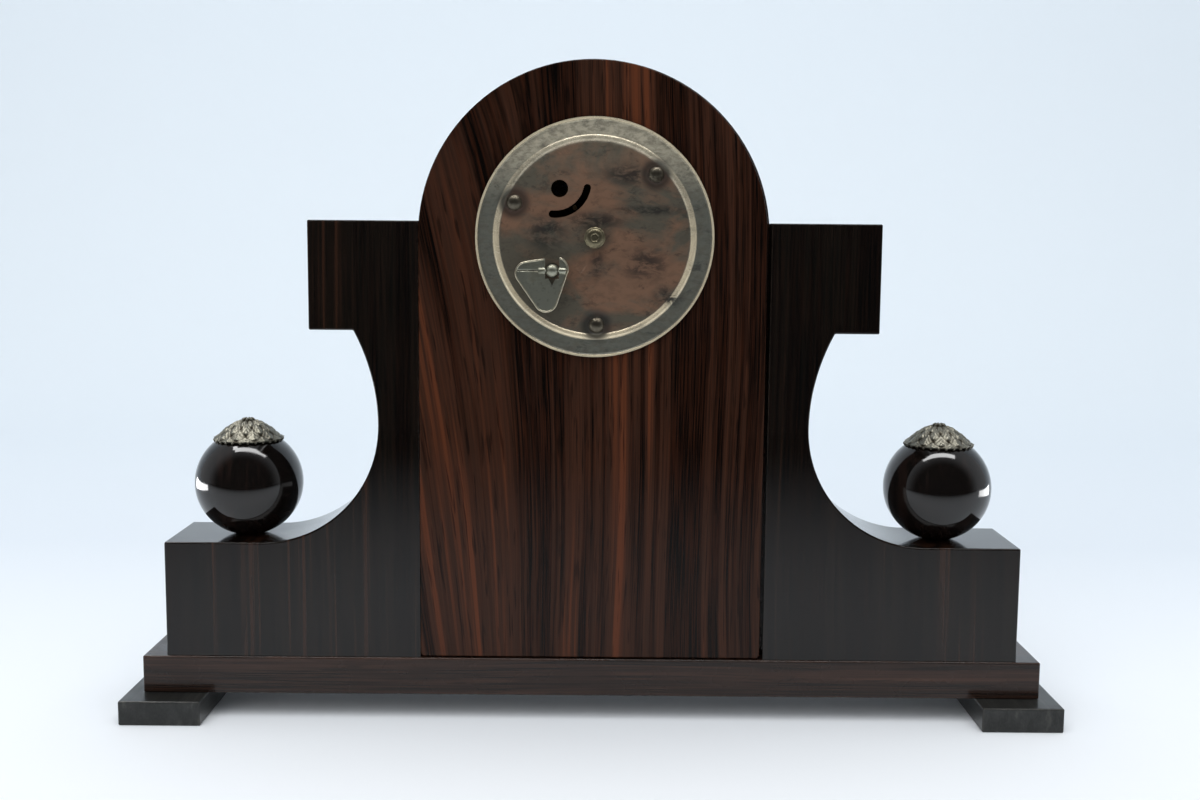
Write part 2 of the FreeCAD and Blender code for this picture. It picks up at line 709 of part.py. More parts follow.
def movement_body(name, spot=""):
    """An empty body at one of the arbors, on the back plane of the case."""
    if not spot:
        return new_body(name, "0", "case_back", "dial_height")
    return new_body(name, spot + "_x", "case_back", "dial_height + " + spot + "_z")


def arc_between(centre, radius, start, end):
    """The arc from one point to another, counterclockwise round its centre."""
    first, last = (math.atan2(point.y - centre.y, point.x - centre.x) for point in (start, end))
    if last < first:
        last += 2 * math.pi
    return Part.ArcOfCircle(Part.Circle(centre, Vector(0, 0, 1), radius), first, last)


class Drawing:
    """A sketch on one of a body's base planes, with its points bound to the sheet."""

    def __init__(self, body, role, lift="0", turn=0.0):
        self.body = body
        self.sketch = body.newObject("Sketcher::SketchObject", body.Name + "_outline")
        self.sketch.AttachmentSupport = (origin_feature(body, role), [""])
        self.sketch.MapMode = "FlatFace"
        self.sketch.AttachmentOffset = FreeCAD.Placement(
            Vector(0, 0, value(lift)), Rotation(Vector(0, 0, 1), turn))
        if lift != "0":
            self.sketch.setExpression("AttachmentOffset.Base.z", formula(lift))

    def bind(self, kind, terms, *where):
        """Add one dimension that follows the sheet."""
        number = self.sketch.addConstraint(Sketcher.Constraint(kind, *where, value(terms)))
        self.sketch.setExpression("Constraints[%d]" % number, formula(terms))

    def pin(self, edge, end, x, y):
        """Hold a point at sums of named sizes from the sketch's origin."""
        for kind, terms, axis in (("DistanceX", x, -2), ("DistanceY", y, -1)):
            if terms == "0":
                self.sketch.addConstraint(Sketcher.Constraint("PointOnObject", edge, end, axis))
            else:
                self.bind(kind, terms, -1, 1, edge, end)

    def circle(self, x, y, radius):
        """A circle with a bound centre and radius."""
        centre = Vector(value(x), value(y), 0)
        edge = self.sketch.addGeometry(Part.Circle(centre, Vector(0, 0, 1), value(radius)), False)
        if x == "0" and y == "0":
            self.sketch.addConstraint(Sketcher.Constraint("Coincident", edge, 3, -1, 1))
        else:
            self.pin(edge, 3, x, y)
        self.bind("Radius", radius, edge)
        return self

    def loop(self, corners):
        """A closed outline. A corner is (x, y), or (x, y, radius, side) to reach it along an arc.

        The side is 1 where the arc turns left on its way and -1 where it turns right.
        """
        points = [Vector(value(corner[0]), value(corner[1]), 0) for corner in corners]
        edges = []
        for number, corner in enumerate(corners):
            start, end = points[number - 1], points[number]
            if len(corner) == 2:
                edge = self.sketch.addGeometry(Part.LineSegment(start, end), False)
                edges.append((edge, 1, 2))
                continue
            radius, side = value(corner[2]), corner[3]
            chord = end - start
            half = chord.Length / 2
            height = math.sqrt(max(radius * radius - half * half, 0.0))
            centre = (start + end) / 2 + Vector(-chord.y, chord.x, 0).normalize() * side * height
            ends = (start, end) if side > 0 else (end, start)
            edge = self.sketch.addGeometry(arc_between(centre, radius, *ends), False)
            edges.append((edge, 1, 2) if side > 0 else (edge, 2, 1))
        for number, corner in enumerate(corners):
            edge, _, tail = edges[number]
            following, head, _ = edges[(number + 1) % len(edges)]
            self.sketch.addConstraint(Sketcher.Constraint("Coincident", edge, tail, following, head))
            self.pin(edge, tail, corner[0], corner[1])
            if len(corner) == 2:
                continue
            if not self.is_half_circle(corner, points, number):
                self.bind("Radius", corner[2], edge)
            elif corner[1] == "0":
                self.sketch.addConstraint(Sketcher.Constraint("PointOnObject", edge, 3, -1))
        return self

    @staticmethod
    def is_half_circle(corner, points, number):
        """Whether an arc spans its whole diameter, which fixes its radius already."""
        span = points[number].distanceToPoint(points[number - 1])
        return abs(span - 2 * value(corner[2])) < NEARLY_ZERO * span

    def box(self, x_low, y_low, x_high, y_high):
        """A closed rectangle."""
        return self.loop([(x_high, y_low), (x_high, y_high), (x_low, y_high), (x_low, y_low)])


def check_volume(body, before, grows):
    """Stop when a feature left the solid as it was or changed it the wrong way."""
    doc.recompute()
    change = body.Shape.Volume - before
    if (change <= 0) == grows:
        raise RuntimeError("a feature of %s has no effect" % body.Label)


def volume(body):
    """The solid's present volume, or zero for an empty body."""
    return 0.0 if body.Shape.isNull() else body.Shape.Volume


def pad(drawing, length, midplane=False):
    """Raise an outline into a solid."""
    body = drawing.body
    before = volume(body)
    feature = body.newObject("PartDesign::Pad", body.Name + "_pad")
    feature.Profile = drawing.sketch
    feature.Length = value(length)
    feature.setExpression("Length", formula(length))
    feature.Midplane = midplane
    check_volume(body, before, True)
    return feature


def pocket(drawing, length="", forward=True, midplane=False):
    """Cut an outline into the solid, through all of it where no length is given.

    The cut runs the way that the drawing's plane faces, unless forward is switched off.
    """
    body = drawing.body
    before = volume(body)
    feature = body.newObject("PartDesign::Pocket", body.Name + "_pocket")
    feature.Profile = drawing.sketch
    if length:
        feature.Length = value(length)
        feature.setExpression("Length", formula(length))
    else:
        feature.Type = "ThroughAll"
    feature.Midplane = midplane
    feature.Reversed = forward and not midplane
    check_volume(body, before, False)
    return feature


def turn(drawing, axis="V_Axis"):
    """Turn an outline into a round solid."""
    body = drawing.body
    before = volume(body)
    feature = body.newObject("PartDesign::Revolution", body.Name + "_turned")
    feature.Profile = drawing.sketch
    feature.ReferenceAxis = (drawing.sketch, [axis])
    feature.Angle = FULL_TURN
    check_volume(body, before, True)
    return feature


def repeat(feature, count, role="Y_Axis"):
    """Repeat a feature round one of the body's axes."""
    body = feature.getParentGeoFeatureGroup()
    pattern = body.newObject("PartDesign::PolarPattern", body.Name + "_ring")
    pattern.Originals = [feature]
    pattern.Axis = (origin_feature(body, role), [""])
    pattern.Angle = FULL_TURN
    pattern.Occurrences = count
    body.Tip = pattern
    doc.recompute()
    return pattern


def is_sharp(solid, edge):
    """Whether the two faces at an edge meet at an angle."""
    point = edge.valueAt((edge.FirstParameter + edge.LastParameter) / 2)
    faces = solid.ancestorsOfType(edge, Part.Face)
    normals = [face.normalAt(*face.Surface.parameter(point)) for face in faces]
    return len(normals) == 2 and normals[0].cross(normals[1]).Length > NEARLY_ZERO


def round_edges(body, radius, wanted):
    """Round the sharp edges of the body that the test picks."""
    tip = body.Tip
    names = ["Edge%d" % number for number, edge in enumerate(tip.Shape.Edges, 1)
             if wanted(edge) and is_sharp(tip.Shape, edge)]
    fillet = body.newObject("PartDesign::Fillet", body.Name + "_rounding")
    fillet.Base = (tip, names)
    fillet.Radius = value(radius)
    fillet.setExpression("Radius", formula(radius))
    doc.recompute()
    if not fillet.isValid():
        raise RuntimeError("the rounding of %s failed" % body.Label)
    return fillet


def profile(name, points, spot=""):
    """A piece of the movement turned about its arbor: points are (radius, level)."""
    body = movement_body(name, spot)
    drawing = Drawing(body, "XY_Plane")
    drawing.loop([(point[0], flip(point[1]) if point[1] != "0" else "0", *point[2:]) for point in points])
    turn(drawing)
    return body


def toothed_ring(body, level, height, name, teeth, phase):
    """Pad a disc at a level and cut its gaps, the first of them centred at the phase angle."""
    pad(Drawing(body, "XZ_Plane", level).circle("0", "0", name + "_tip"), height)
    gap = Drawing(body, "XZ_Plane", level, phase)
    gap.loop([(name + "_root", "- " + name + "_gap_root"),
              (name + "_tip + cut_overrun", "- " + name + "_gap_tip"),
              (name + "_tip + cut_overrun", name + "_gap_tip"),
              (name + "_root", name + "_gap_root")])
    repeat(pocket(gap, height), teeth)


def group(name, master, spots):
    """Several equal pieces under one label, each a link to the first at its own place."""
    master.Visibility = False
    master.Label = name + "_one"
    links = []
    for number, (x, y, z, rotation) in enumerate(spots):
        link = doc.addObject("App::Link", "%s_%d" % (name, number))
        link.LinkedObject = master
        place(link, x, y, z, rotation)
        links.append(link)
    compound = doc.addObject("Part::Compound", name)
    compound.Label = name
    compound.Links = links
    return compound


def mirrored(name, source):
    """The same piece on the other side of the middle plane."""
    copy = doc.addObject("Part::Mirroring", name)
    copy.Label = name
    copy.Source = source
    copy.Normal = Vector(1, 0, 0)
    return copy


nodes = []


def keep(*pieces):
    """Note finished pieces for the export."""
    nodes.extend(pieces)


# Feet, plinth and their screws

def wood_screw(name, length):
    """A countersunk screw that points up +Z from the middle of its head, with a slot."""
    body = new_body(name)
    drawing = Drawing(body, "XZ_Plane")
    drawing.loop([("wood_screw_head", "0"), ("wood_screw_radius", "wood_screw_head_height"),
                  ("wood_screw_radius", length + " - wood_screw_head_height"), ("0", length), ("0", "0")])
    turn(drawing)
    slot = Drawing(body, "XY_Plane")
    slot.box("- wood_screw_head - cut_overrun", "- half_screw_slot", "wood_screw_head + cut_overrun",
             "half_screw_slot")
    pocket(slot, "wood_screw_slot")
    return body


def screw_holes(body, role, spots, lift="0", forward=True, length=""):
    """Recesses for screw heads and bores for their shanks, from one face of a piece."""
    if not length:
        recess = Drawing(body, role, lift)
        for x, y in spots:
            recess.circle(x, y, "wood_screw_head_bore")
        pocket(recess, "wood_screw_head_height", forward)
    bores = Drawing(body, role, lift)
    for x, y in spots:
        bores.circle(x, y, "wood_screw_bore")
    pocket(bores, length, forward)


def build_base():
    """Two feet, the plinth and the screws that join them to each other and to the wings."""
    rows = ("foot_screw_half_pitch", "- foot_screw_half_pitch")
    spots = ("plinth_screw_outer", "plinth_screw_inner")
    foot = new_body("foot_left", "foot_reach - foot_width", "foot_half_depth")
    pad(Drawing(foot, "XZ_Plane").box("0", "0", "foot_width", "foot_height"), "foot_depth")
    round_edges(foot, "edge_round", lambda edge: True)
    screw_holes(foot, "XY_Plane", [("foot_screw_spot - foot_reach + foot_width", row + " - foot_half_depth")
                                   for row in rows])
    keep(foot, mirrored("foot_right", foot))

    plinth = new_body("plinth", "0", "plinth_back", "foot_height")
    pad(Drawing(plinth, "XZ_Plane").box("- plinth_reach", "0", "plinth_reach", "plinth_height"),
        "plinth_depth")
    round_edges(plinth, "edge_round", lambda edge: True)
    screw_holes(plinth, "XY_Plane", [(side("foot_screw_spot"), row + " - plinth_back")
                                     for side in SIDES for row in rows], length="foot_pilot")
    screw_holes(plinth, "XY_Plane", [(side(spot), "wing_mid - plinth_back")
                                     for side in SIDES for spot in spots])
    keep(plinth)
    keep(group("foot_screws", wood_screw("foot_screw_one", "foot_screw_length"),
               [(side("foot_screw_spot"), row, "0", None) for side in SIDES for row in rows]))
    keep(group("plinth_screws", wood_screw("plinth_screw_one", "plinth_screw_length"),
               [(side(spot), "wing_mid", "foot_height", None) for side in SIDES for spot in spots]))


# Wings, balls and caps

def build_wings():
    """The solid wing with its cove, and its mirror image."""
    wing = new_body("wing_left", "0", "case_back", "plinth_top")
    outline = Drawing(wing, "XZ_Plane")
    outline.loop([("arch_radius", "0"),
                  ("shoulder_reach", "0"),
                  ("shoulder_reach", "shoulder_rise"),
                  ("neck_reach + cove_radius", "shoulder_rise"),
                  ("neck_reach", "shoulder_rise + cove_radius", "cove_radius", -1),
                  ("lip_reach", "wing_under_rise", "upper_cove_radius", -1),
                  ("wing_reach", "wing_under_rise"),
                  ("wing_reach", "wing_rise"),
                  ("arch_radius", "wing_rise")])
    pad(outline, "wing_depth")
    near = value("edge_round") / 2
    round_edges(wing, "edge_round",
                lambda edge: edge.BoundBox.XMax > value("arch_radius") + near and edge.BoundBox.ZMax > near)
    screw_holes(wing, "XY_Plane", [(spot, "wing_mid - case_back")
                                   for spot in ("plinth_screw_outer", "plinth_screw_inner")],
                length="plinth_pilot")
    screw_holes(wing, "YZ_Plane", [("hoop_mid - case_back", rise)
                                   for rise in ("hoop_screw_low", "hoop_screw_high")],
                lift="arch_radius", length="hoop_pilot")
    dowel = Drawing(wing, "XY_Plane", "shoulder_rise")
    dowel.circle("ball_spot", "wing_mid - case_back", "dowel_bore")
    pocket(dowel, "dowel_in_wing + dowel_clearance", forward=False)
    keep(wing, mirrored("wing_right", wing))


def build_balls():
    """A turned ball on each shoulder, its dowel, its stamped cap and the pin that holds the cap."""
    ball = new_body("ball_left", "ball_spot", "wing_mid", "shoulder_top")
    drawing = Drawing(ball, "XZ_Plane")
    drawing.loop([("dowel_bore", "0"),
                  ("ball_seat_radius", "0"),
                  ("pin_bore", "ball_top", "ball_radius", 1),
                  ("pin_bore", "ball_top - cap_pin_length"),
                  ("0", "ball_top - cap_pin_length"),
                  ("0", "dowel_in_ball + dowel_clearance"),
                  ("dowel_bore", "dowel_in_ball + dowel_clearance")])
    turn(drawing)
    keep(ball, mirrored("ball_right", ball))

    dowel = new_body("ball_dowel")
    pad(Drawing(dowel, "XY_Plane").circle("0", "0", "dowel_radius"), "dowel_in_ball + dowel_in_wing")
    keep(group("ball_dowels", dowel, [(side("ball_spot"), "wing_mid", "shoulder_top - dowel_in_wing", None)
                                      for side in SIDES]))

    cap = new_body("ball_cap_left", "ball_spot", "wing_mid", "shoulder_top + ball_centre")
    drawing = Drawing(cap, "XZ_Plane")
    drawing.loop([("pin_bore", "cap_bore_in_z"),
                  ("cap_rim_in_r", "cap_rim_in_z", "cap_inner_radius", -1),
                  ("cap_rim_out_r", "cap_rim_out_z"),
                  ("cap_rim_out_r", "cap_rim_top_z"),
                  ("cap_shoulder_r", "cap_rim_top_z"),
                  ("pin_bore", "cap_bore_out_z", "cap_outer_radius", 1)])
    turn(drawing)
    keep(cap, mirrored("ball_cap_right", cap))

    pin = new_body("cap_pin")
    drawing = Drawing(pin, "XZ_Plane")
    drawing.loop([("0", "- cap_pin_length"),
                  ("cap_pin_radius", "- cap_pin_length"),
                  ("cap_pin_radius", "0"),
                  ("cap_bead_foot", "0"),
                  ("0", "cap_bead_top", "cap_bead_radius", 1)])
    turn(drawing)
    keep(group("cap_pins", pin, [(side("ball_spot"), "wing_mid", "cap_pin_level", None) for side in SIDES]))


# The arched centre

def arched(drawing, radius, foot):
    """The outline of a board: two straight sides under a half circle about the dial's centre."""
    return drawing.loop([(radius, "- dial_rise" + foot),
                         (radius, "0"),
                         ("- " + radius, "0", radius, 1),
                         ("- " + radius, "- dial_rise" + foot)])


def build_centre():
    """Front and back boards, the bent hoop and the sill between them, and the hoop's screws."""
    front = new_body("centre_front_board", "0", "case_back - centre_depth + front_board", "dial_height")
    pad(arched(Drawing(front, "XZ_Plane"), "arch_radius", "").circle("0", "0", "can_hole"), "front_board")
    outside = value("can_hole + edge_round")
    face = -value("front_board")
    round_edges(front, "edge_round",
                lambda edge: edge.BoundBox.YMax < face / 2 and edge.BoundBox.XLength > 2 * outside
                or edge.BoundBox.YMax < face / 2 and edge.BoundBox.XLength < value("edge_round"))
    pins = Drawing(front, "XZ_Plane", "front_board")
    for number in range(len(BEZEL_PIN_ANGLES)):
        pins.circle("bezel_pin_%d_x" % number, "bezel_pin_%d_z" % number, "bezel_pin_bore")
    pocket(pins, "bezel_pin_depth", forward=False)

    back = new_body("centre_back_board", "panel_shift", "case_back", "dial_height")
    outline = arched(Drawing(back, "XZ_Plane"), "panel_radius", " + panel_foot_gap")
    pad(outline.circle("- panel_shift", "0", "can_hole"), "back_board")
    low = -value("dial_rise") / 2
    round_edges(back, "panel_corner",
                lambda edge: edge.BoundBox.ZMax < low and edge.BoundBox.XLength < value("edge_round")
                and edge.BoundBox.ZLength < value("edge_round"))
    round_edges(back, "edge_round",
                lambda edge: edge.BoundBox.YMin > face / 2 and edge.BoundBox.YLength < value("edge_round")
                and not (edge.BoundBox.XLength < 2 * outside and edge.BoundBox.XLength > outside))

    hoop = new_body("centre_hoop", "0", "case_back - back_board", "dial_height")
    outline = Drawing(hoop, "XZ_Plane")
    outline.loop([("arch_radius", "- dial_rise"),
                  ("arch_radius", "0"),
                  ("- arch_radius", "0", "arch_radius", 1),
                  ("- arch_radius", "- dial_rise"),
                  ("- hoop_inner", "- dial_rise"),
                  ("- hoop_inner", "0"),
                  ("hoop_inner", "0", "hoop_inner", -1),
                  ("hoop_inner", "- dial_rise")])
    pad(outline, "hoop_depth")
    rises = [("hoop_mid - case_back + back_board", rise + " - dial_rise")
             for rise in ("hoop_screw_low", "hoop_screw_high")]
    screw_holes(hoop, "YZ_Plane", rises, lift="hoop_inner")
    screw_holes(hoop, "YZ_Plane", rises, lift="- hoop_inner", forward=False)

    sill = new_body("centre_sill", "0", "case_back - back_board", "plinth_top")
    pad(Drawing(sill, "XZ_Plane").box("- hoop_inner", "0", "hoop_inner", "sill_height"), "hoop_depth")
    keep(front, back, hoop, sill)

    across = {same: Rotation(Vector(0, 1, 0), QUARTER_TURN), flip: Rotation(Vector(0, 1, 0), -QUARTER_TURN)}
    keep(group("hoop_screws", wood_screw("hoop_screw_one", "hoop_screw_length"),
               [(side("hoop_inner"), "hoop_mid", "plinth_top + " + rise, across[side])
                for side in SIDES for rise in ("hoop_screw_low", "hoop_screw_high")]))


# Can, rear cover and what holds them

def around(name, angles):
    """Places for a group whose spots were worked out round the movement's centre."""
    return [("%s_%d_x" % (name, number), "case_back", "dial_height + %s_%d_z" % (name, number), None)
            for number in range(len(angles))]


def build_can():
    """The drum that holds the movement, the pressed rear cover and its three screws."""
    keep(profile("movement_can", [("can_radius", "0"), ("can_radius", "dial_level"),
                                  ("can_radius - can_wall", "dial_level"), ("can_radius - can_wall", "0")]))
    cover = profile("rear_cover", [("bead_spot - bead_inner", "0"),
                                   ("bead_spot + bead_inner", "0", "bead_inner", -1),
                                   ("cover_radius", "0"),
                                   ("cover_radius", "- cover_lip"),
                                   ("cover_radius - cover_wall", "- cover_lip"),
                                   ("cover_radius - cover_wall", "- cover_wall"),
                                   ("bead_spot + bead_foot", "- cover_wall"),
                                   ("bead_spot - bead_foot", "- cover_wall", "bead_outer", 1),
                                   ("0", "- cover_wall"),
                                   ("0", "0")])
    holes = Drawing(cover, "XZ_Plane")
    holes.circle("0", "0", "knob_hole")
    holes.circle("barrel_x", "barrel_z", "boss_hole")
    holes.circle("peep_x", "peep_z", "peep_radius")
    for number in range(len(COVER_SCREW_ANGLES)):
        holes.circle("cover_screw_%d_x" % number, "cover_screw_%d_z" % number, "stud_hole")
    pocket(holes, midplane=True)
    slot = Drawing(cover, "XZ_Plane")
    slot.loop([("slot_b_x", "slot_b_z", "slot_half_width", 1),
               ("slot_c_x", "slot_c_z", "slot_outer", 1),
               ("slot_d_x", "slot_d_z", "slot_half_width", 1),
               ("slot_a_x", "slot_a_z", "slot_inner", -1)])
    pocket(slot, midplane=True)
    keep(cover)

    screw = profile("cover_screw", [("0", "stud_length"),
                                    ("0", "- cover_wall - cover_screw_head_height"),
                                    ("cover_screw_head", "- cover_wall", "cover_screw_dome", -1),
                                    ("stud_radius", "- cover_wall"),
                                    ("stud_radius", "stud_length")])
    keep(group("rear_cover_screws", screw, around("cover_screw", COVER_SCREW_ANGLES)))


# Plates and pillars

def plate(name, level, *groups):
    """A round movement plate with its groups of holes, each hole (x, z, radius), cut one by one."""
    body = movement_body(name)
    pad(Drawing(body, "XZ_Plane", level).circle("0", "0", "plate_radius"), "plate_wall")
    for holes in groups:
        for hole in holes:
            pocket(Drawing(body, "XZ_Plane").circle(*hole), midplane=True)
    return body


def build_plates():
    """The two plates, the pillars between them, the posts behind them and their screws."""
    pivots = [(spot + "_x", spot + "_z", "pivot_hole") for spot in ("third", "fourth", "escape", "lever")]
    studs = [("cover_screw_%d_x" % number, "cover_screw_%d_z" % number, "stud_hole")
             for number in range(len(COVER_SCREW_ANGLES))]
    feet = [("dial_foot_%d_x" % number, "dial_foot_%d_z" % number, "dial_foot_bore")
            for number in range(len(DIAL_FOOT_ANGLES))]
    keep(plate("back_plate", "back_plate_level", pivots, studs, [
        ("0", "0", "centre_arbor_hole"),
        ("barrel_x", "barrel_z", "winding_hole"),
        ("balance_x", "balance_z", "balance_window"),
        ("cock_screw_x", "cock_screw_z", "cock_screw_bore"),
        ("barrel_x", "barrel_z - click_spot", "click_screw_bore")]))
    keep(plate("front_plate", "front_plate_level", pivots, studs, feet, [
        ("0", "0", "front_arbor_hole"),
        ("barrel_x", "barrel_z", "winding_pivot_hole"),
        ("balance_x", "balance_z", "pivot_hole"),
        ("minute_x", "minute_z", "minute_stud_bore")]))
    post = profile("cover_post", [("stud_hole", "0"),
                                  ("stud_hole", "stud_length + stud_clearance"),
                                  ("0", "stud_length + stud_clearance"),
                                  ("0", "back_plate_level + stud_length"),
                                  ("stud_radius", "back_plate_level + stud_length"),
                                  ("stud_radius", "back_plate_level"),
                                  ("post_radius", "back_plate_level"),
                                  ("post_radius", "0")])
    keep(group("cover_posts", post, around("cover_screw", COVER_SCREW_ANGLES)))
    pillar = profile("pillar", [("stud_hole", "back_plate_front"),
                                ("stud_hole", "front_plate_level"),
                                ("pillar_radius", "front_plate_level"),
                                ("pillar_radius", "back_plate_front")])
    keep(group("pillars", pillar, around("cover_screw", COVER_SCREW_ANGLES)))
    screw = profile("plate_screw", [("0", "front_plate_level - stud_length"),
                                    ("stud_radius", "front_plate_level - stud_length"),
                                    ("stud_radius", "front_plate_front"),
                                    ("plate_screw_head", "front_plate_front"),
                                    ("plate_screw_head", "front_plate_front + plate_screw_head_height"),
                                    ("0", "front_plate_front + plate_screw_head_height")])
    keep(group("plate_screws", screw, around("cover_screw", COVER_SCREW_ANGLES)))


# Going barrel, winding arbor and key

def spiral(name, spot, level, height, wall, start, pitch, turns, end_angle):
    """A flat spring of half turns, each a little wider than the last, cut from one ribbon."""
    outer, inner = [], []
    for half_turn in range(2 * turns):
        radius = start + half_turn * pitch / 2
        middle = 0.0 if half_turn % 2 == 0 else pitch / 2
        first, last = (0.0, math.pi) if half_turn % 2 == 0 else (math.pi, 2 * math.pi)
        for edges, reach in ((outer, radius + wall / 2), (inner, radius - wall / 2)):
            circle = Part.Circle(Vector(middle, 0, 0), Vector(0, 0, 1), reach)
            edges.append(Part.ArcOfCircle(circle, first, last).toShape())
    start_cap = Part.makeLine(outer[0].Vertexes[0].Point, inner[0].Vertexes[0].Point)
    end_cap = Part.makeLine(outer[-1].Vertexes[-1].Point, inner[-1].Vertexes[-1].Point)
    outline = Part.Wire(Part.__sortEdges__(outer + [end_cap] + inner + [start_cap]))
    feature = doc.addObject("Part::Feature", name)
    feature.Label = name
    feature.Shape = Part.Face(outline).extrude(Vector(0, 0, height))
    facing = Rotation(Vector(1, 0, 0), QUARTER_TURN).multiply(Rotation(Vector(0, 0, 1), end_angle))
    place(feature, spot + "_x", "case_back - " + level, "dial_height + " + spot + "_z", facing)
    return feature


def build_barrel():
    """The toothed barrel, its cap, the mainspring, the winding arbor, the ratchet and the click."""
    barrel = movement_body("barrel", "barrel")
    toothed_ring(barrel, "great_level", "great_wall", "great", COUNTS["great_teeth"],
                 ANGLES["barrel"] + HALF_TURN)
    drum = Drawing(barrel, "XZ_Plane", "great_level - drum_height")
    drum.circle("0", "0", "drum_radius").circle("0", "0", "drum_radius - drum_wall")
    pad(drum, "drum_height")
    pocket(Drawing(barrel, "XZ_Plane", "great_level").circle("0", "0", "winding_hole"), "great_wall")
    cap = movement_body("barrel_cap", "barrel")
    lid = Drawing(cap, "XZ_Plane", "great_level - drum_height - barrel_cap_wall")
    pad(lid.circle("0", "0", "drum_radius").circle("0", "0", "winding_hole"), "barrel_cap_wall")
    spring = spiral("mainspring", "barrel", "mainspring_level", value("mainspring_height"),
                    value("spring_wall"), value("mainspring_start"), value("spring_pitch"),
                    COUNTS["mainspring_turns"], 0.0)
    keep(barrel, cap, spring)

    arbor = profile("winding_arbor", [("0", "- hinge_level - boss_dome"),
                                      ("boss_radius", "- hinge_level", "boss_dome_radius", -1),
                                      ("boss_radius", "- boss_start"),
                                      ("winding_radius", "- boss_start"),
                                      ("winding_radius", "winding_hub_level"),
                                      ("winding_hub", "winding_hub_level"),
                                      ("winding_hub", "great_level - end_play"),
                                      ("winding_radius", "great_level - end_play"),
                                      ("winding_radius", "front_plate_level - end_play"),
                                      ("winding_pivot", "front_plate_level - end_play"),
                                      ("winding_pivot", "front_plate_front"),
                                      ("0", "front_plate_front")], "barrel")
    pocket(Drawing(arbor, "YZ_Plane").circle("hinge_level", "0", "key_pin_bore"), midplane=True)
    ratchet = movement_body("ratchet_wheel", "barrel")
    pad(Drawing(ratchet, "XZ_Plane", "ratchet_level").circle("0", "0", "ratchet_radius"), "ratchet_wall")
    notch = Drawing(ratchet, "XZ_Plane", "ratchet_level", ANGLES["click_beak"])
    notch.loop([("ratchet_root", "0"), ("ratchet_out", "0"), ("ratchet_out", "ratchet_step")])
    repeat(pocket(notch, "ratchet_wall"), COUNTS["ratchet_teeth"])
    pocket(Drawing(ratchet, "XZ_Plane", "ratchet_level").circle("0", "0", "winding_radius"), "ratchet_wall")
    keep(arbor, ratchet)


def bar(drawing, name):
    """A tapered bar whose four corners were worked out under this name."""
    return drawing.loop([("%s_%d_x" % (name, number), "%s_%d_z" % (name, number)) for number in range(4)])


def build_click():
    """The click that holds the ratchet, its screw and its spring."""
    click = new_body("click", "barrel_x", "case_back", "dial_height + barrel_z - click_spot")
    pad(Drawing(click, "XZ_Plane", "ratchet_level").circle("0", "0", "click_boss"), "click_wall")
    pad(bar(Drawing(click, "XZ_Plane", "ratchet_level"), "beak"), "click_wall")
    pad(bar(Drawing(click, "XZ_Plane", "ratchet_level"), "tail"), "click_wall")
    pocket(Drawing(click, "XZ_Plane", "ratchet_level").circle("0", "0", "click_bore"), "click_wall")
    screw = profile("click_screw", [("0", "click_head_level"),
                                    ("click_screw_head", "click_head_level"),
                                    ("click_screw_head", "ratchet_level"),
                                    ("click_screw_radius", "ratchet_level"),
                                    ("click_screw_radius", "back_plate_front"),
                                    ("0", "back_plate_front")], "click")
    spring = new_body("click_spring", "barrel_x", "case_back", "dial_height + barrel_z - click_spot")
    pad(bar(Drawing(spring, "XZ_Plane", "ratchet_level"), "leaf"), "back_plate_level - ratchet_level")
    keep(click, screw, spring)


def build_key():
    """The folding key: a rounded leaf with a slot for the arbor's end, two knuckles and a pin."""
    key = new_body("winding_key", "barrel_x", "case_back + hinge_level", "dial_height + barrel_z")
    leaf = Drawing(key, "XZ_Plane")
    rounded_triangle(leaf, [("key_far_x", "- key_far_z"), ("- key_near_x", "key_near_z"),
                            ("key_low_x", "- key_low_z")], "key_round")
    pad(leaf, "key_wall", midplane=True)
    pad(Drawing(key, "YZ_Plane").circle("0", "0", "knuckle_radius"), "knuckle_reach + knuckle_reach",
        midplane=True)
    slot = Drawing(key, "XZ_Plane")
    slot.box("- key_slot_half", "- key_slot_foot", "key_slot_half", "key_round + key_round")
    pocket(slot, midplane=True)
    notch = Drawing(key, "XZ_Plane")
    notch.loop([("key_notch_half", "- key_slot_foot + key_notch_half"),
                ("- key_notch_half", "- key_slot_foot + key_notch_half"),
                ("- key_notch_half", "- key_slot_foot"),
                ("0", "- key_notch_foot"),
                ("key_notch_half", "- key_slot_foot")])
    pocket(notch, midplane=True)
    pocket(Drawing(key, "YZ_Plane").circle("0", "0", "key_pin_bore"), midplane=True)
    pin = new_body("key_pin", "barrel_x", "case_back + hinge_level", "dial_height + barrel_z")
    pad(Drawing(pin, "YZ_Plane").circle("0", "0", "key_pin_radius"), "knuckle_reach + knuckle_reach",
        midplane=True)
    keep(key, pin)


def rounded_triangle(drawing, corners, radius):
    """An outline round three circles of one radius, given from the far corner counterclockwise."""
    centres = [Vector(value(x), value(y), 0) for x, y in corners]
    reach = value(radius)
    arcs, lines = [], []
    normals = []
    for number, centre in enumerate(centres):
        along = centres[(number + 1) % 3] - centre
        normals.append(Vector(along.y, -along.x, 0).normalize())
    for number, centre in enumerate(centres):
        first, last = centre + normals[number - 1] * reach, centre + normals[number] * reach
        arcs.append(drawing.sketch.addGeometry(arc_between(centre, reach, first, last), False))
    for number, centre in enumerate(centres):
        following = (number + 1) % 3
        offset = normals[number] * reach
        line = Part.LineSegment(centre + offset, centres[following] + offset)
        lines.append(drawing.sketch.addGeometry(line, False))
    for number, (x, y) in enumerate(corners):
        drawing.pin(arcs[number], 3, x, y)
        drawing.bind("Radius", radius, arcs[number])
        following = (number + 1) % 3
        for line_end, curve, curve_end in ((1, arcs[number], 2), (2, arcs[following], 1)):
            drawing.sketch.addConstraint(
                Sketcher.Constraint("Tangent", lines[number], line_end, curve, curve_end))
    return drawing


# Going train

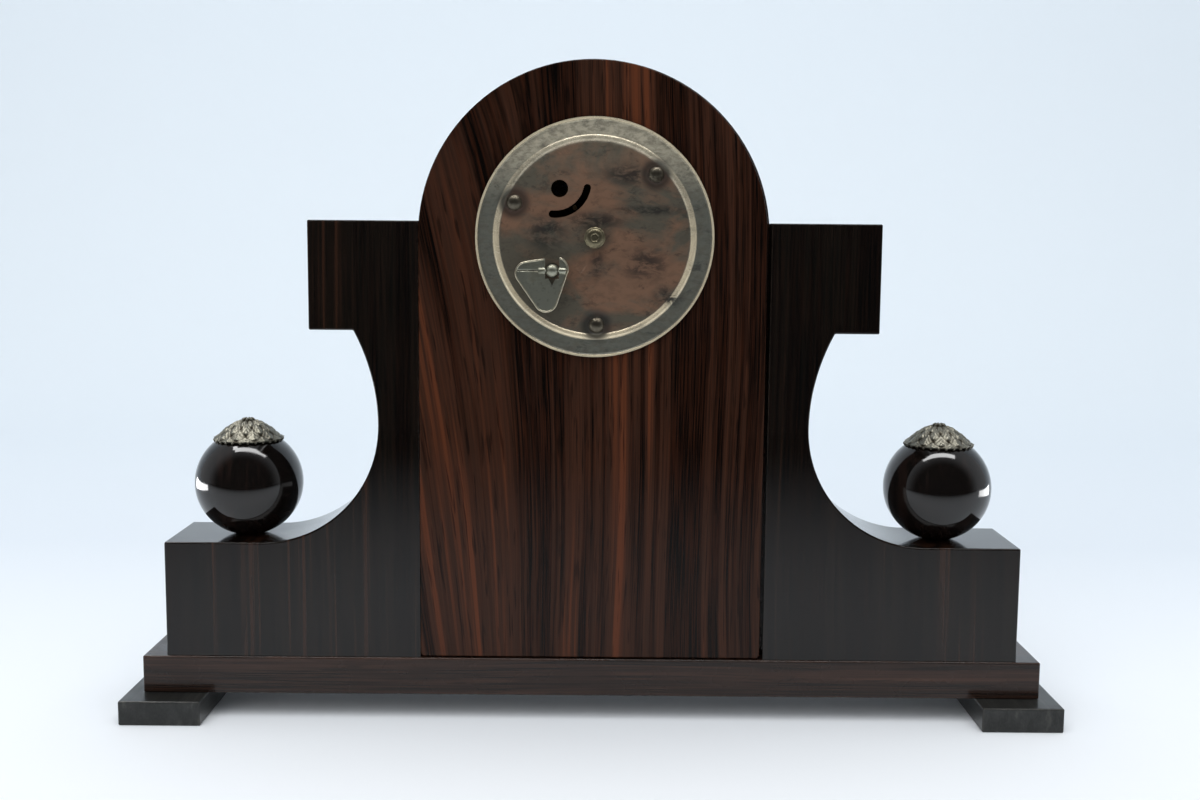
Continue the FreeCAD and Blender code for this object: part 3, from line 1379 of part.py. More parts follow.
def facing(spot_angle):
    """The phase that turns a gap towards the wheel that this one drives."""
    return ANGLES[spot_angle]


def meeting(spot_angle, teeth):
    """The phase that turns a tooth back towards the wheel that drives this one."""
    return ANGLES[spot_angle] + HALF_TURN + HALF_TURN / teeth


def arbor_profile(name, spot):
    """A plain arbor between the plates with a pivot at each end."""
    return profile(name, [("0", "back_plate_level"), ("pivot_radius", "back_plate_level"),
                          ("pivot_radius", "back_plate_front + end_play"),
                          ("arbor_radius", "back_plate_front + end_play"),
                          ("arbor_radius", "front_plate_level - end_play"),
                          ("pivot_radius", "front_plate_level - end_play"),
                          ("pivot_radius", "front_plate_front"), ("0", "front_plate_front")], spot)


def windows(body, name, level, wall):
    """Round windows that lighten a wheel."""
    hole = Drawing(body, "XZ_Plane", level).circle(name + "_window_spot", "0", name + "_window_radius")
    repeat(pocket(hole, wall), COUNTS["wheel_windows"])


def build_train():
    """The centre, third and fourth wheels, each with its pinion, and the arbor of the hands."""
    centre = movement_body("centre_wheel")
    pad(Drawing(centre, "XZ_Plane", "back_plate_front + end_play").circle("0", "0", "centre_pipe_radius"),
        "plate_spacing - end_play - end_play")
    toothed_ring(centre, "great_level - pinion_margin", "great_wall + pinion_margin + pinion_margin",
                 "centre_leaf", COUNTS["centre_leaves"],
                 meeting("barrel", COUNTS["centre_leaves"]) + HALF_TURN)
    toothed_ring(centre, "centre_wheel_level", "wheel_wall", "centre_wheel", COUNTS["centre_teeth"],
                 facing("third"))
    windows(centre, "centre_wheel", "centre_wheel_level", "wheel_wall")
    pocket(Drawing(centre, "XZ_Plane").circle("0", "0", "centre_arbor_hole"))
    arbor = profile("centre_arbor", [("0", "- knob_level - knob_height"),
                                     ("centre_arbor_radius", "- knob_level - knob_height"),
                                     ("centre_arbor_radius", "front_plate_level"),
                                     ("front_arbor_radius", "front_plate_level"),
                                     ("front_arbor_radius", "nut_level + nut_height"),
                                     ("0", "nut_level + nut_height")])
    third = arbor_profile("third_wheel", "third")
    toothed_ring(third, "centre_wheel_level - pinion_margin", "wheel_wall + pinion_margin + pinion_margin",
                 "third_leaf", COUNTS["third_leaves"], meeting("third", COUNTS["third_leaves"]))
    toothed_ring(third, "third_wheel_level", "wheel_wall", "third_wheel", COUNTS["third_teeth"],
                 facing("fourth"))
    windows(third, "third_wheel", "third_wheel_level", "wheel_wall")
    fourth = arbor_profile("fourth_wheel", "fourth")
    toothed_ring(fourth, "third_wheel_level - pinion_margin", "wheel_wall + pinion_margin + pinion_margin",
                 "fourth_leaf", COUNTS["fourth_leaves"], meeting("fourth", COUNTS["fourth_leaves"]))
    toothed_ring(fourth, "fourth_wheel_level", "wheel_wall", "fourth_wheel", COUNTS["fourth_teeth"],
                 facing("escape"))
    windows(fourth, "fourth_wheel", "fourth_wheel_level", "wheel_wall")
    keep(centre, arbor, third, fourth)


# Escapement, balance and regulator

def build_escapement():
    """The escape wheel, the lever with its two pallets and the balance."""
    escape = arbor_profile("escape_wheel", "escape")
    toothed_ring(escape, "fourth_wheel_level - pinion_margin", "wheel_wall + pinion_margin + pinion_margin",
                 "escape_leaf", COUNTS["escape_leaves"], meeting("escape", COUNTS["escape_leaves"]))
    pad(Drawing(escape, "XZ_Plane", "escape_level").circle("0", "0", "escape_radius"), "escape_wall")
    notch = Drawing(escape, "XZ_Plane", "escape_level")
    notch.loop([("escape_root", "0"), ("escape_out", "0"), ("escape_out", "escape_step")])
    repeat(pocket(notch, "escape_wall"), COUNTS["escape_teeth"])

    lever = arbor_profile("pallet_lever", "lever")
    for name in ("lever_tail", "fork_head", "arm_entry", "arm_exit", "stone_entry", "stone_exit"):
        pad(bar(Drawing(lever, "XZ_Plane", "lever_level"), name), "lever_wall")
    pocket(bar(Drawing(lever, "XZ_Plane", "lever_level"), "fork_notch"), "lever_wall")

    balance = profile("balance_wheel", [("0", "cock_arm_level"), ("pivot_radius", "cock_arm_level"),
                                        ("pivot_radius", "cock_level + end_play"),
                                        ("staff_radius", "cock_level + end_play"),
                                        ("staff_radius", "front_plate_level - end_play"),
                                        ("pivot_radius", "front_plate_level - end_play"),
                                        ("pivot_radius", "front_plate_front"), ("0", "front_plate_front")],
                      "balance")
    rim = Drawing(balance, "XZ_Plane", "balance_level").circle("0", "0", "balance_radius")
    pad(rim.circle("0", "0", "balance_radius - balance_rim"), "balance_wall")
    arms = Drawing(balance, "XZ_Plane", "balance_level")
    arms.box("- balance_arm_reach", "- balance_half_arm", "balance_arm_reach", "balance_half_arm")
    pad(arms, "balance_wall")
    pad(Drawing(balance, "XZ_Plane", "roller_level").circle("0", "0", "roller_radius"), "roller_wall")
    jewel = Drawing(balance, "XZ_Plane", "roller_level")
    pad(jewel.circle("impulse_x", "impulse_z", "impulse_radius"), "roller_wall + impulse_length")
    keep(escape, lever, balance)


def build_cock():
    """The balance cock with its screw, the hairspring and the regulator."""
    cock = movement_body("balance_cock", "balance")
    pad(bar(Drawing(cock, "XZ_Plane", "cock_arm_level"), "cock_arm"), "cock_wall")
    pad(bar(Drawing(cock, "XZ_Plane", "cock_level"), "cock_foot"), "cock_wall")
    pad(Drawing(cock, "XZ_Plane", "regulator_level").circle("0", "0", "cock_boss"), "regulator_wall")
    stud = Drawing(cock, "XZ_Plane", "cock_level").circle("stud_x", "stud_z", "hairspring_stud")
    pad(stud, "hairspring_level + hairspring_height - cock_level")
    pocket(Drawing(cock, "XZ_Plane").circle("0", "0", "pivot_hole"))
    pocket(Drawing(cock, "XZ_Plane").circle("cock_screw_rel_x", "cock_screw_rel_z", "cock_screw_bore"))
    screw = profile("cock_screw", [("0", "cock_arm_level - cock_screw_head_height"),
                                   ("cock_screw_head", "cock_arm_level - cock_screw_head_height"),
                                   ("cock_screw_head", "cock_arm_level"),
                                   ("cock_screw_radius", "cock_arm_level"),
                                   ("cock_screw_radius", "back_plate_front"),
                                   ("0", "back_plate_front")], "cock_screw")
    spring = spiral("hairspring", "balance", "hairspring_level", value("hairspring_height"),
                    value("hairspring_wall"), value("hairspring_start"), value("hairspring_pitch"),
                    COUNTS["hairspring_turns"], ANGLES["cock"])
    regulator = movement_body("regulator_lever", "balance")
    hub = Drawing(regulator, "XZ_Plane", "regulator_level").circle("0", "0", "regulator_hub")
    pad(hub, "regulator_wall")
    pad(bar(Drawing(regulator, "XZ_Plane", "regulator_level"), "regulator_tail"), "regulator_wall")
    pad(bar(Drawing(regulator, "XZ_Plane", "regulator_level"), "curb_arm"), "regulator_wall")
    pin = Drawing(regulator, "XZ_Plane", "- cover_wall - regulator_proud")
    pad(pin.circle("regulator_x", "regulator_z", "regulator_pin"),
        "cover_wall + regulator_proud + regulator_level")
    curb = Drawing(regulator, "XZ_Plane", "regulator_level").circle("curb_x", "curb_z", "curb_radius")
    pad(curb, "hairspring_level + hairspring_height - regulator_level")
    pocket(Drawing(regulator, "XZ_Plane", "regulator_level").circle("0", "0", "regulator_bore"),
           "regulator_wall")
    keep(cock, screw, spring, regulator)


# Motion work, dial and hands

def build_motion_work():
    """The gears that drive the hour hand, between the front plate and the dial."""
    cannon = movement_body("cannon_pinion")
    pipe = Drawing(cannon, "XZ_Plane", "motion_level").circle("0", "0", "cannon_pipe")
    pad(pipe, "nut_level - motion_level")
    toothed_ring(cannon, "motion_level", "motion_wall", "cannon", COUNTS["cannon_leaves"], facing("minute"))
    pocket(Drawing(cannon, "XZ_Plane").circle("0", "0", "front_arbor_radius"))
    minute = movement_body("minute_wheel", "minute")
    toothed_ring(minute, "hour_level", "minute_pinion_length", "minute_leaf", COUNTS["minute_leaves"],
                 facing("minute") + HALF_TURN)
    toothed_ring(minute, "motion_level", "motion_wall", "minute_wheel", COUNTS["minute_teeth"],
                 meeting("minute", COUNTS["minute_teeth"]))
    pad(Drawing(minute, "XZ_Plane", "motion_level + motion_wall").circle("0", "0", "minute_leaf_root"),
        "hour_level - motion_level - motion_wall")
    pocket(Drawing(minute, "XZ_Plane").circle("0", "0", "minute_stud_hole"))
    stud = profile("minute_wheel_stud", [("0", "front_plate_level"),
                                         ("minute_stud_radius", "front_plate_level"),
                                         ("minute_stud_radius", "hour_level + minute_pinion_length"),
                                         ("0", "hour_level + minute_pinion_length")], "minute")
    hour = movement_body("hour_wheel")
    toothed_ring(hour, "hour_level", "motion_wall", "hour_wheel", COUNTS["hour_teeth"],
                 meeting("minute", COUNTS["hour_teeth"]) + HALF_TURN)
    pad(Drawing(hour, "XZ_Plane", "hour_level").circle("0", "0", "hour_pipe"),
        "hour_hand_level + hand_wall - hour_level")
    pocket(Drawing(hour, "XZ_Plane").circle("0", "0", "hour_bore"))
    keep(cannon, minute, stud, hour)


def hand(name, level, bore):
    """A tapered hand with a round hub and a short tail."""
    body = movement_body(name)
    pad(Drawing(body, "XZ_Plane", level).circle("0", "0", "hand_hub"), "hand_wall")
    pad(bar(Drawing(body, "XZ_Plane", level), name), "hand_wall")
    pocket(Drawing(body, "XZ_Plane", level).circle("0", "0", bore), "hand_wall")
    return body


def build_dial():
    """The dial on its feet, the two hands, the nut, the bezel with its pins and the glass."""
    dial = movement_body("dial")
    face = Drawing(dial, "XZ_Plane", "dial_level").circle("0", "0", "can_radius")
    pad(face.circle("0", "0", "dial_hole"), "dial_wall")
    foot = profile("dial_foot", [("0", "front_plate_level"), ("dial_foot_pin", "front_plate_level"),
                                 ("dial_foot_pin", "front_plate_front"),
                                 ("dial_foot_radius", "front_plate_front"),
                                 ("dial_foot_radius", "dial_level"), ("0", "dial_level")])
    feet = group("dial_feet", foot, around("dial_foot", DIAL_FOOT_ANGLES))
    nut = profile("hand_nut", [("front_arbor_radius", "nut_level"), ("nut_radius", "nut_level"),
                               ("nut_radius", "nut_level + nut_height"),
                               ("front_arbor_radius", "nut_level + nut_height")])
    bezel = profile("bezel", [("bezel_inner", "dial_front"),
                              ("bezel_foot", "dial_front"),
                              ("bezel_foot", "centre_depth"),
                              ("bezel_radius", "centre_depth"),
                              ("bezel_radius", "centre_depth + bezel_edge"),
                              ("bezel_slope_spot", "centre_depth + bezel_slope_height"),
                              ("bezel_crest", "centre_depth + bezel_crest_height"),
                              ("glass_radius + glass_gap", "centre_depth + bezel_slope_height"),
                              ("glass_radius + glass_gap", "glass_level"),
                              ("glass_radius - glass_seat", "glass_level"),
                              ("bezel_inner", "dial_front + bezel_throat_height")])
    holes = Drawing(bezel, "XZ_Plane", "centre_depth")
    for number in range(len(BEZEL_PIN_ANGLES)):
        holes.circle("bezel_pin_%d_x" % number, "bezel_pin_%d_z" % number, "bezel_pin_bore")
    pocket(holes)
    pin = profile("bezel_pin", [("0", "centre_depth - bezel_pin_depth"),
                                ("bezel_pin_radius", "centre_depth - bezel_pin_depth"),
                                ("bezel_pin_radius", "centre_depth - bezel_pin_depth + bezel_pin_length"),
                                ("0", "centre_depth - bezel_pin_depth + bezel_pin_length")])
    glass = profile("bezel_glass", [("glass_seat_radius", "glass_level", "glass_inner_dome", 1),
                                    ("glass_radius", "glass_level"),
                                    ("glass_radius", "glass_level + glass_wall"),
                                    ("0", "glass_level + glass_wall + glass_rise", "glass_outer_dome", -1),
                                    ("0", "glass_level + glass_rise")])
    knob = profile("hand_set_knob", [("centre_arbor_radius", "- knob_level"),
                                     ("centre_arbor_radius", "- knob_level - knob_height"),
                                     ("knob_radius - knob_bevel", "- knob_level - knob_height"),
                                     ("knob_radius", "- knob_level - knob_height + knob_bevel"),
                                     ("knob_radius", "- knob_level")])
    groove = Drawing(knob, "XZ_Plane", "- knob_level - knob_height")
    groove.circle("knob_radius", "0", "knob_groove")
    repeat(pocket(groove, "knob_height"), COUNTS["knob_grooves"])
    keep(dial, feet, hand("hour_hand", "hour_hand_level", "hour_pipe"),
         hand("minute_hand", "minute_hand_level", "cannon_pipe"), nut, bezel,
         group("bezel_pins", pin, around("bezel_pin", BEZEL_PIN_ANGLES)), glass, knob)


def export():
    """Check every object and node, then write one file for each node."""
    doc.recompute()
    for piece in doc.Objects:
        if {"Invalid", "Error"} & set(piece.State):
            raise RuntimeError("%s failed: %s" % (piece.Label, piece.State))
    os.makedirs("parts", exist_ok=True)
    for piece in nodes:
        if piece.Shape.isNull() or not piece.Shape.isValid() or not piece.Shape.Solids:
            raise RuntimeError("%s has no valid solid" % piece.Label)
        piece.Shape.exportStep("parts/%s.step" % piece.Label)
        print("%-20s %d solids, %.1f mm3" % (piece.Label, len(piece.Shape.Solids), piece.Shape.Volume))


build_base()
build_wings()
build_balls()
build_centre()
build_can()
build_plates()
build_barrel()
build_click()
build_key()
build_train()
build_escapement()
build_cock()
build_motion_work()
build_dial()
export()
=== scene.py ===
"""Looks of an architectural mantel clock of the 1930s, seen from behind.

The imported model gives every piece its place. This script dresses the case, the balls, the rear side and the
movement, builds the pressed cover, the stamped caps, the milled knob, the key's rim and the printing of the
dial, and sets up the studio. Lengths are in metres unless a docstring says otherwise. +Z is up, the dial
faces -Y and the pressed cover faces +Y.
"""

import logging
import math
from dataclasses import dataclass
from enum import Enum
from functools import partialmethod
from typing import Callable, Mapping, Sequence

import bmesh
import bpy
from mathutils import Matrix, Vector


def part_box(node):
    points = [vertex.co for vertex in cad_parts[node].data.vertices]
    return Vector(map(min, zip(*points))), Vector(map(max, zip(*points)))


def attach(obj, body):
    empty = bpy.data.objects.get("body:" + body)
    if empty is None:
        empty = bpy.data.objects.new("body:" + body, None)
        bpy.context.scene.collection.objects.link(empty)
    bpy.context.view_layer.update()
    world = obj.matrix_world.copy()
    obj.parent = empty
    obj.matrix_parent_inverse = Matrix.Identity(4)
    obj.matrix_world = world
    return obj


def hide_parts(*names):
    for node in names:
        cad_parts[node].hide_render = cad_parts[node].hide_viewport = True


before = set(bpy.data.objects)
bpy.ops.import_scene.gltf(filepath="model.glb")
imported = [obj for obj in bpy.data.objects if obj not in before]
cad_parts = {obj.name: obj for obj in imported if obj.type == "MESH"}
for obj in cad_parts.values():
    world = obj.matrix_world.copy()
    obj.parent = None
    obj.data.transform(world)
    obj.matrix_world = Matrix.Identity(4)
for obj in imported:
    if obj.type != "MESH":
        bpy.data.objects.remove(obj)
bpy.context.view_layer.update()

log = logging.getLogger("mantel_clock")
Colour = tuple[float, float, float, float]
Socket = bpy.types.NodeSocket
Sockets = Mapping[str, Socket]
FLOAT, VECTOR, COLOUR = "NodeSocketFloat", "NodeSocketVector", "NodeSocketColor"
MM = 0.001
TURN = 2 * math.pi


def tint(red: float, green: float, blue: float) -> Colour:
    """Turn an 8-bit display colour into linear light.

    Args:
        red, green, blue: display values from 0 to 255.

    Returns:
        The linear colour with full alpha.
    """
    def channel(level: float) -> float:
        """One channel of the display curve."""
        share = level / 255
        return share / 12.92 if share <= 0.04045 else ((share + 0.055) / 1.055) ** 2.4

    return channel(red), channel(green), channel(blue), 1.0


def middle(node: str) -> Vector:
    """The middle of a CAD node's box."""
    return sum(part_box(node), Vector()) / 2


def ease(value: float, low: float, high: float) -> float:
    """A smooth step from 0 at low to 1 at high."""
    share = min(max((value - low) / (high - low), 0.0), 1.0)
    return share * share * (3 - 2 * share)


class Grain(Enum):
    """The way that the fibres of a piece of wood run."""

    UPRIGHT = (0.0, 0.0, 0.0)
    ALONG = (0.0, math.pi / 2, 0.0)
    ACROSS = (math.pi / 2, 0.0, 0.0)


class Graph:
    """A short hand for laying nodes and links into one tree."""

    def __init__(self, tree: bpy.types.NodeTree) -> None:
        """Keep the tree that the nodes go into."""
        self.tree = tree

    def node(self, kind: str, inputs: Mapping | None = None, **settings: object) -> bpy.types.Node:
        """Add a node.

        Args:
            kind: Blender's name of the node type.
            inputs: sockets to link or values to set, by the input's name or number.
            settings: the node's own properties.

        Returns:
            The new node.
        """
        made = self.tree.nodes.new(kind)
        for name, value in settings.items():
            setattr(made, name, value)
        for name, value in (inputs or {}).items():
            if isinstance(value, Socket):
                self.tree.links.new(value, made.inputs[name])
            else:
                made.inputs[name].default_value = value
        return made

    def calc(self, operation: str, *values: object, clamp: bool = False) -> Socket:
        """A Math node's result.

        Args:
            operation: Blender's name of the operation.
            values: numbers or sockets, in order.
            clamp: whether the result is held between 0 and 1.

        Returns:
            The output socket.
        """
        inputs = dict(enumerate(values))
        return self.node("ShaderNodeMath", inputs, operation=operation, use_clamp=clamp).outputs[0]

    add, less = partialmethod(calc, "ADD"), partialmethod(calc, "SUBTRACT")
    times, most = partialmethod(calc, "MULTIPLY"), partialmethod(calc, "MAXIMUM")

    def vector(self, operation: str, first: object, second: object, output: str = "Value") -> Socket:
        """A Vector Math node's result, by the name of its output."""
        return self.node("ShaderNodeVectorMath", {0: first, 1: second}, operation=operation).outputs[output]

    def parts(self, vector: Socket) -> Sequence[Socket]:
        """A vector's x, y and z."""
        return self.node("ShaderNodeSeparateXYZ", {0: vector}).outputs

    def joined(self, x: object = 0.0, y: object = 0.0, z: object = 0.0) -> Socket:
        """A vector from its x, y and z."""
        return self.node("ShaderNodeCombineXYZ", {0: x, 1: y, 2: z}).outputs[0]

    def span(self, value: object, low: float, high: float, out_low: float = 0.0,
             out_high: float = 1.0) -> Socket:
        """Map a range of values smoothly onto another, held at its ends."""
        return self.node("ShaderNodeMapRange", {"Value": value, "From Min": low, "From Max": high,
                                                "To Min": out_low, "To Max": out_high},
                         interpolation_type="SMOOTHSTEP").outputs[0]

    def blend(self, factor: object, first: object, second: object) -> Socket:
        """Mix two colours; the factor says how much of the second shows."""
        return self.node("ShaderNodeMix", {0: factor, 6: first, 7: second}, data_type="RGBA").outputs[2]

    def ramp(self, factor: object, stops: Sequence[tuple[float, Colour]]) -> Socket:
        """A colour ramp through the given stops."""
        made = self.node("ShaderNodeValToRGB", {"Fac": factor})
        elements = made.color_ramp.elements
        while len(elements) < len(stops):
            elements.new(0.5)
        for element, (position, colour) in zip(elements, stops):
            element.position = position
            element.color = colour
        return made.outputs["Color"]

    def stretch(self, vector: object, x: float = 1.0, y: float = 1.0, z: float = 1.0) -> Socket:
        """Scale a vector along each axis."""
        return self.node("ShaderNodeMapping", {"Vector": vector, "Scale": (x, y, z)}).outputs[0]

    def noise(self, vector: object, scale: object, detail: float = 2.0, rough: float = 0.5,
              warp: float = 0.0) -> Socket:
        """The value of a noise texture; three scales in a tuple stretch it along the axes."""
        if isinstance(scale, tuple):
            vector, scale = self.stretch(vector, *scale), 1.0
        return self.node("ShaderNodeTexNoise", {"Vector": vector, "Scale": scale, "Detail": detail,
                                                "Roughness": rough, "Distortion": warp}).outputs["Fac"]

    def group(self, tree: bpy.types.NodeTree, **inputs: object) -> Sockets:
        """The outputs of a shared effect with its own values."""
        return self.node("ShaderNodeGroup", inputs, node_tree=tree).outputs

    def bump(self, height: object, strength: float, distance: float, **normal: Socket) -> Socket:
        """A Bump node's normal, which may start from another Normal."""
        return self.node("ShaderNodeBump", {"Height": height, "Strength": strength, "Distance": distance,
                                            **normal}).outputs[0]


def effect(inputs: Sequence[tuple[str, str, object]], outputs: Sequence[tuple[str, str]]) -> Callable:
    """Make a function that lays nodes into a shader group, built on its first use.

    Args:
        inputs: (name, socket type, default) of each input.
        outputs: (name, socket type) of each output.

    Returns:
        A decorator, whose function gives the group's tree.
    """
    def wrap(fill: Callable[[Graph, Sockets], Sockets]) -> Callable[[], bpy.types.NodeTree]:
        """Keep the function that lays the nodes."""
        def group() -> bpy.types.NodeTree:
            """The group's tree."""
            tree = bpy.data.node_groups.get(fill.__name__)
            if tree:
                return tree
            tree = bpy.data.node_groups.new(fill.__name__, "ShaderNodeTree")
            for label, kind, default in inputs:
                socket = tree.interface.new_socket(label, in_out="INPUT", socket_type=kind)
                if default is not None:
                    socket.default_value = default
            for label, kind in outputs:
                tree.interface.new_socket(label, in_out="OUTPUT", socket_type=kind)
            graph = Graph(tree)
            graph.node("NodeGroupOutput", fill(graph, graph.node("NodeGroupInput").outputs))
            return tree
        return group
    return wrap


@effect((("Vector", VECTOR, None), ("Shift", VECTOR, None), ("Sweep", FLOAT, 0.01), ("Lean", FLOAT, 0.0),
         ("Dark", COLOUR, tint(20, 12, 10)), ("Middle", COLOUR, tint(50, 25, 18)),
         ("Light", COLOUR, tint(90, 48, 34))), (("Color", COLOUR), ("Height", FLOAT)))
def wood_grain(graph: Graph, given: Sockets) -> Sockets:
    """Striped wood whose fibres run along local Z, with pores and stripes that lean where x grows."""
    x, y, z = graph.parts(given["Vector"])
    drift = graph.noise(given["Vector"], (6, 6, 5), 1.0)
    wave = graph.times(graph.less(drift, 0.5), given["Sweep"])
    lean = graph.times(graph.span(x, 0.0, 0.085), given["Lean"])
    bent = graph.joined(graph.add(graph.add(x, wave), graph.times(z, lean)), y, z)
    line = graph.vector("ADD", bent, given["Shift"], "Vector")
    band = graph.noise(line, (34, 20, 1.3))
    broad = graph.noise(line, (105, 40, 1.9), 3.0, 0.55, 0.2)
    narrow = graph.noise(line, (420, 160, 3.6), 2.0, 0.6)
    fibre = graph.noise(line, (1700, 800, 24), 2.0, 0.6)
    pore = graph.span(graph.noise(line, (1250, 900, 55), 1.0), 0.60, 0.72)
    shade = graph.add(graph.times(band, 0.34), graph.add(graph.times(broad, 0.38), graph.times(narrow, 0.28)))
    spread = graph.span(shade, 0.41, 0.62)
    tone = graph.blend(graph.span(spread, 0.05, 0.55), given["Dark"], given["Middle"])
    tone = graph.blend(graph.span(spread, 0.62, 1.05), tone, given["Light"])
    tone = graph.blend(graph.times(graph.span(fibre, 0.35, 0.7), 0.25), tone, given["Light"])
    tone = graph.blend(graph.times(pore, 0.6), tone, given["Dark"])
    return {"Color": tone, "Height": graph.less(graph.times(fibre, 0.5), pore)}


@effect((("Vector", VECTOR, None), ("Width", FLOAT, 0.0006), ("Amount", FLOAT, 0.5)),
        (("Mask", FLOAT), ("Normal", VECTOR)))
def edge_wear(graph: Graph, given: Sockets) -> Sockets:
    """A mask of the rubbed edges, and the normal of the softened edge."""
    soft = graph.node("ShaderNodeBevel", {"Radius": given["Width"]}, samples=4).outputs[0]
    flat = graph.node("ShaderNodeNewGeometry").outputs["Normal"]
    edge = graph.span(graph.vector("DOT_PRODUCT", soft, flat), 0.995, 0.90)
    rub = graph.span(graph.noise(given["Vector"], 160.0, 3.0, 0.7), 0.38, 0.62)
    return {"Mask": graph.times(graph.times(edge, rub, clamp=True), given["Amount"]), "Normal": soft}


@effect((("Vector", VECTOR, None), ("Scale", FLOAT, 60.0), ("Level", FLOAT, 0.5)),
        (("Clouds", FLOAT), ("Flecks", FLOAT), ("Height", FLOAT)))
def patina(graph: Graph, given: Sockets) -> Sockets:
    """Cloudy tarnish and speckles, as two masks, and fine scratches as a height."""
    place, size = given["Vector"], given["Scale"]
    cloud = graph.less(graph.noise(place, size, 6.0, 0.62, 0.6), given["Level"])
    fleck = graph.noise(place, graph.times(size, 9.0), 4.0, 0.7)
    scratch = graph.noise(place, (2600, 2600, 190))
    return {"Clouds": graph.times(cloud, 7.0, clamp=True), "Flecks": graph.span(fleck, 0.56, 0.66),
            "Height": graph.add(graph.times(fleck, 0.6), graph.times(scratch, 0.4))}


@dataclass(frozen=True)
class Finish:
    """A procedural look; each kind lays its own nodes."""

    name: str

    def fill(self, graph: Graph, place: Socket) -> Mapping[str, object]:
        """Lay the look's nodes.

        Args:
            graph: the material's graph.
            place: the object coordinates.

        Returns:
            Sockets or values for the shader, by the input's name.
        """
        raise NotImplementedError

    def material(self) -> bpy.types.Material:
        """Build the material."""
        material = bpy.data.materials.new(self.name)
        material.use_nodes = True
        material.node_tree.nodes.clear()
        graph = Graph(material.node_tree)
        place = graph.node("ShaderNodeTexCoord").outputs["Object"]
        shader = graph.node("ShaderNodeBsdfPrincipled", self.fill(graph, place))
        graph.node("ShaderNodeOutputMaterial", {"Surface": shader.outputs[0]})
        return material


@dataclass(frozen=True)
class WoodFinish(Finish):
    """A lacquered wood: three tones, the way of the grain and the look of its lacquer."""

    dark: Colour
    middle: Colour
    light: Colour
    grain: Grain = Grain.UPRIGHT
    sweep: float = 0.010
    lean: float = 0.0
    shift: Vector = Vector((0.0, 0.0, 0.0))
    roughness: float = 0.19
    gloss: float = 0.20
    coat: float = 0.25
    coat_roughness: float = 0.06
    rubbed: Colour = tint(84, 52, 34)
    wear: float = 0.45
    edge_width: float = 0.9 * MM
    bump: float = 0.25
    pore_depth: float = 0.04 * MM

    def fill(self, graph: Graph, place: Socket) -> Mapping[str, object]:
        """Lay the grain, its rubbed edges and a hazy lacquer."""
        turned = graph.node("ShaderNodeMapping", {"Vector": place, "Rotation": self.grain.value}).outputs[0]
        grain = graph.group(wood_grain(), Vector=turned, Shift=self.shift, Sweep=self.sweep, Lean=self.lean,
                            Dark=self.dark, Middle=self.middle, Light=self.light)
        edge = graph.group(edge_wear(), Vector=place, Width=self.edge_width, Amount=self.wear)
        haze = graph.span(graph.noise(place, 34.0, 3.0, 0.6), 0.3, 0.7, self.roughness - 0.05,
                          self.roughness + 0.08)
        return {"Base Color": graph.blend(edge["Mask"], grain["Color"], self.rubbed),
                "Roughness": graph.add(haze, graph.times(edge["Mask"], 0.2)),
                "Specular IOR Level": self.gloss, "Coat Weight": self.coat,
                "Coat Roughness": self.coat_roughness,
                "Normal": graph.bump(grain["Height"], self.bump, self.pore_depth, Normal=edge["Normal"])}


@dataclass(frozen=True)
class LacquerFinish(Finish):
    """Turned wood under a thick polished lacquer."""

    dark: Colour
    light: Colour
    sweep: float = 0.03
    gloss: float = 0.55

    def fill(self, graph: Graph, place: Socket) -> Mapping[str, object]:
        """Lay a faint grain and a smeared, slightly wavy gloss."""
        grain = graph.group(wood_grain(), Vector=place, Sweep=self.sweep, Dark=self.dark, Middle=self.dark,
                            Light=self.light)
        return {"Base Color": grain["Color"], "Specular IOR Level": self.gloss,
                "Roughness": graph.span(graph.noise(place, 90.0, 4.0, 0.6), 0.35, 0.7, 0.06, 0.13),
                "Normal": graph.bump(graph.noise(place, 260.0), 0.04, 0.05 * MM)}


@dataclass(frozen=True)
class MetalFinish(Finish):
    """A metal with cloudy tarnish: its clean and dull colours, its gloss and how far it has dulled."""

    clean: Colour
    dull: Colour
    roughness: float = 0.28
    level: float = 0.52
    scale: float = 90.0
    wear: float = 0.5
    edge_width: float = 0.35 * MM
    bump: float = 0.12
    scratch_depth: float = 0.05 * MM

    def fill(self, graph: Graph, place: Socket) -> Mapping[str, object]:
        """Lay the tarnish and the bare edges."""
        marks = graph.group(patina(), Vector=place, Scale=self.scale, Level=self.level)
        edge = graph.group(edge_wear(), Vector=place, Width=self.edge_width, Amount=self.wear)
        stain = graph.times(marks["Clouds"], 0.8)
        tone = graph.blend(stain, self.clean, self.dull)
        tone = graph.blend(graph.times(marks["Flecks"], 0.5), tone, self.dull)
        return {"Base Color": graph.blend(edge["Mask"], tone, self.clean), "Metallic": 1.0,
                "Roughness": graph.add(graph.times(stain, 0.22), self.roughness),
                "Normal": graph.bump(marks["Height"], self.bump, self.scratch_depth, Normal=edge["Normal"])}


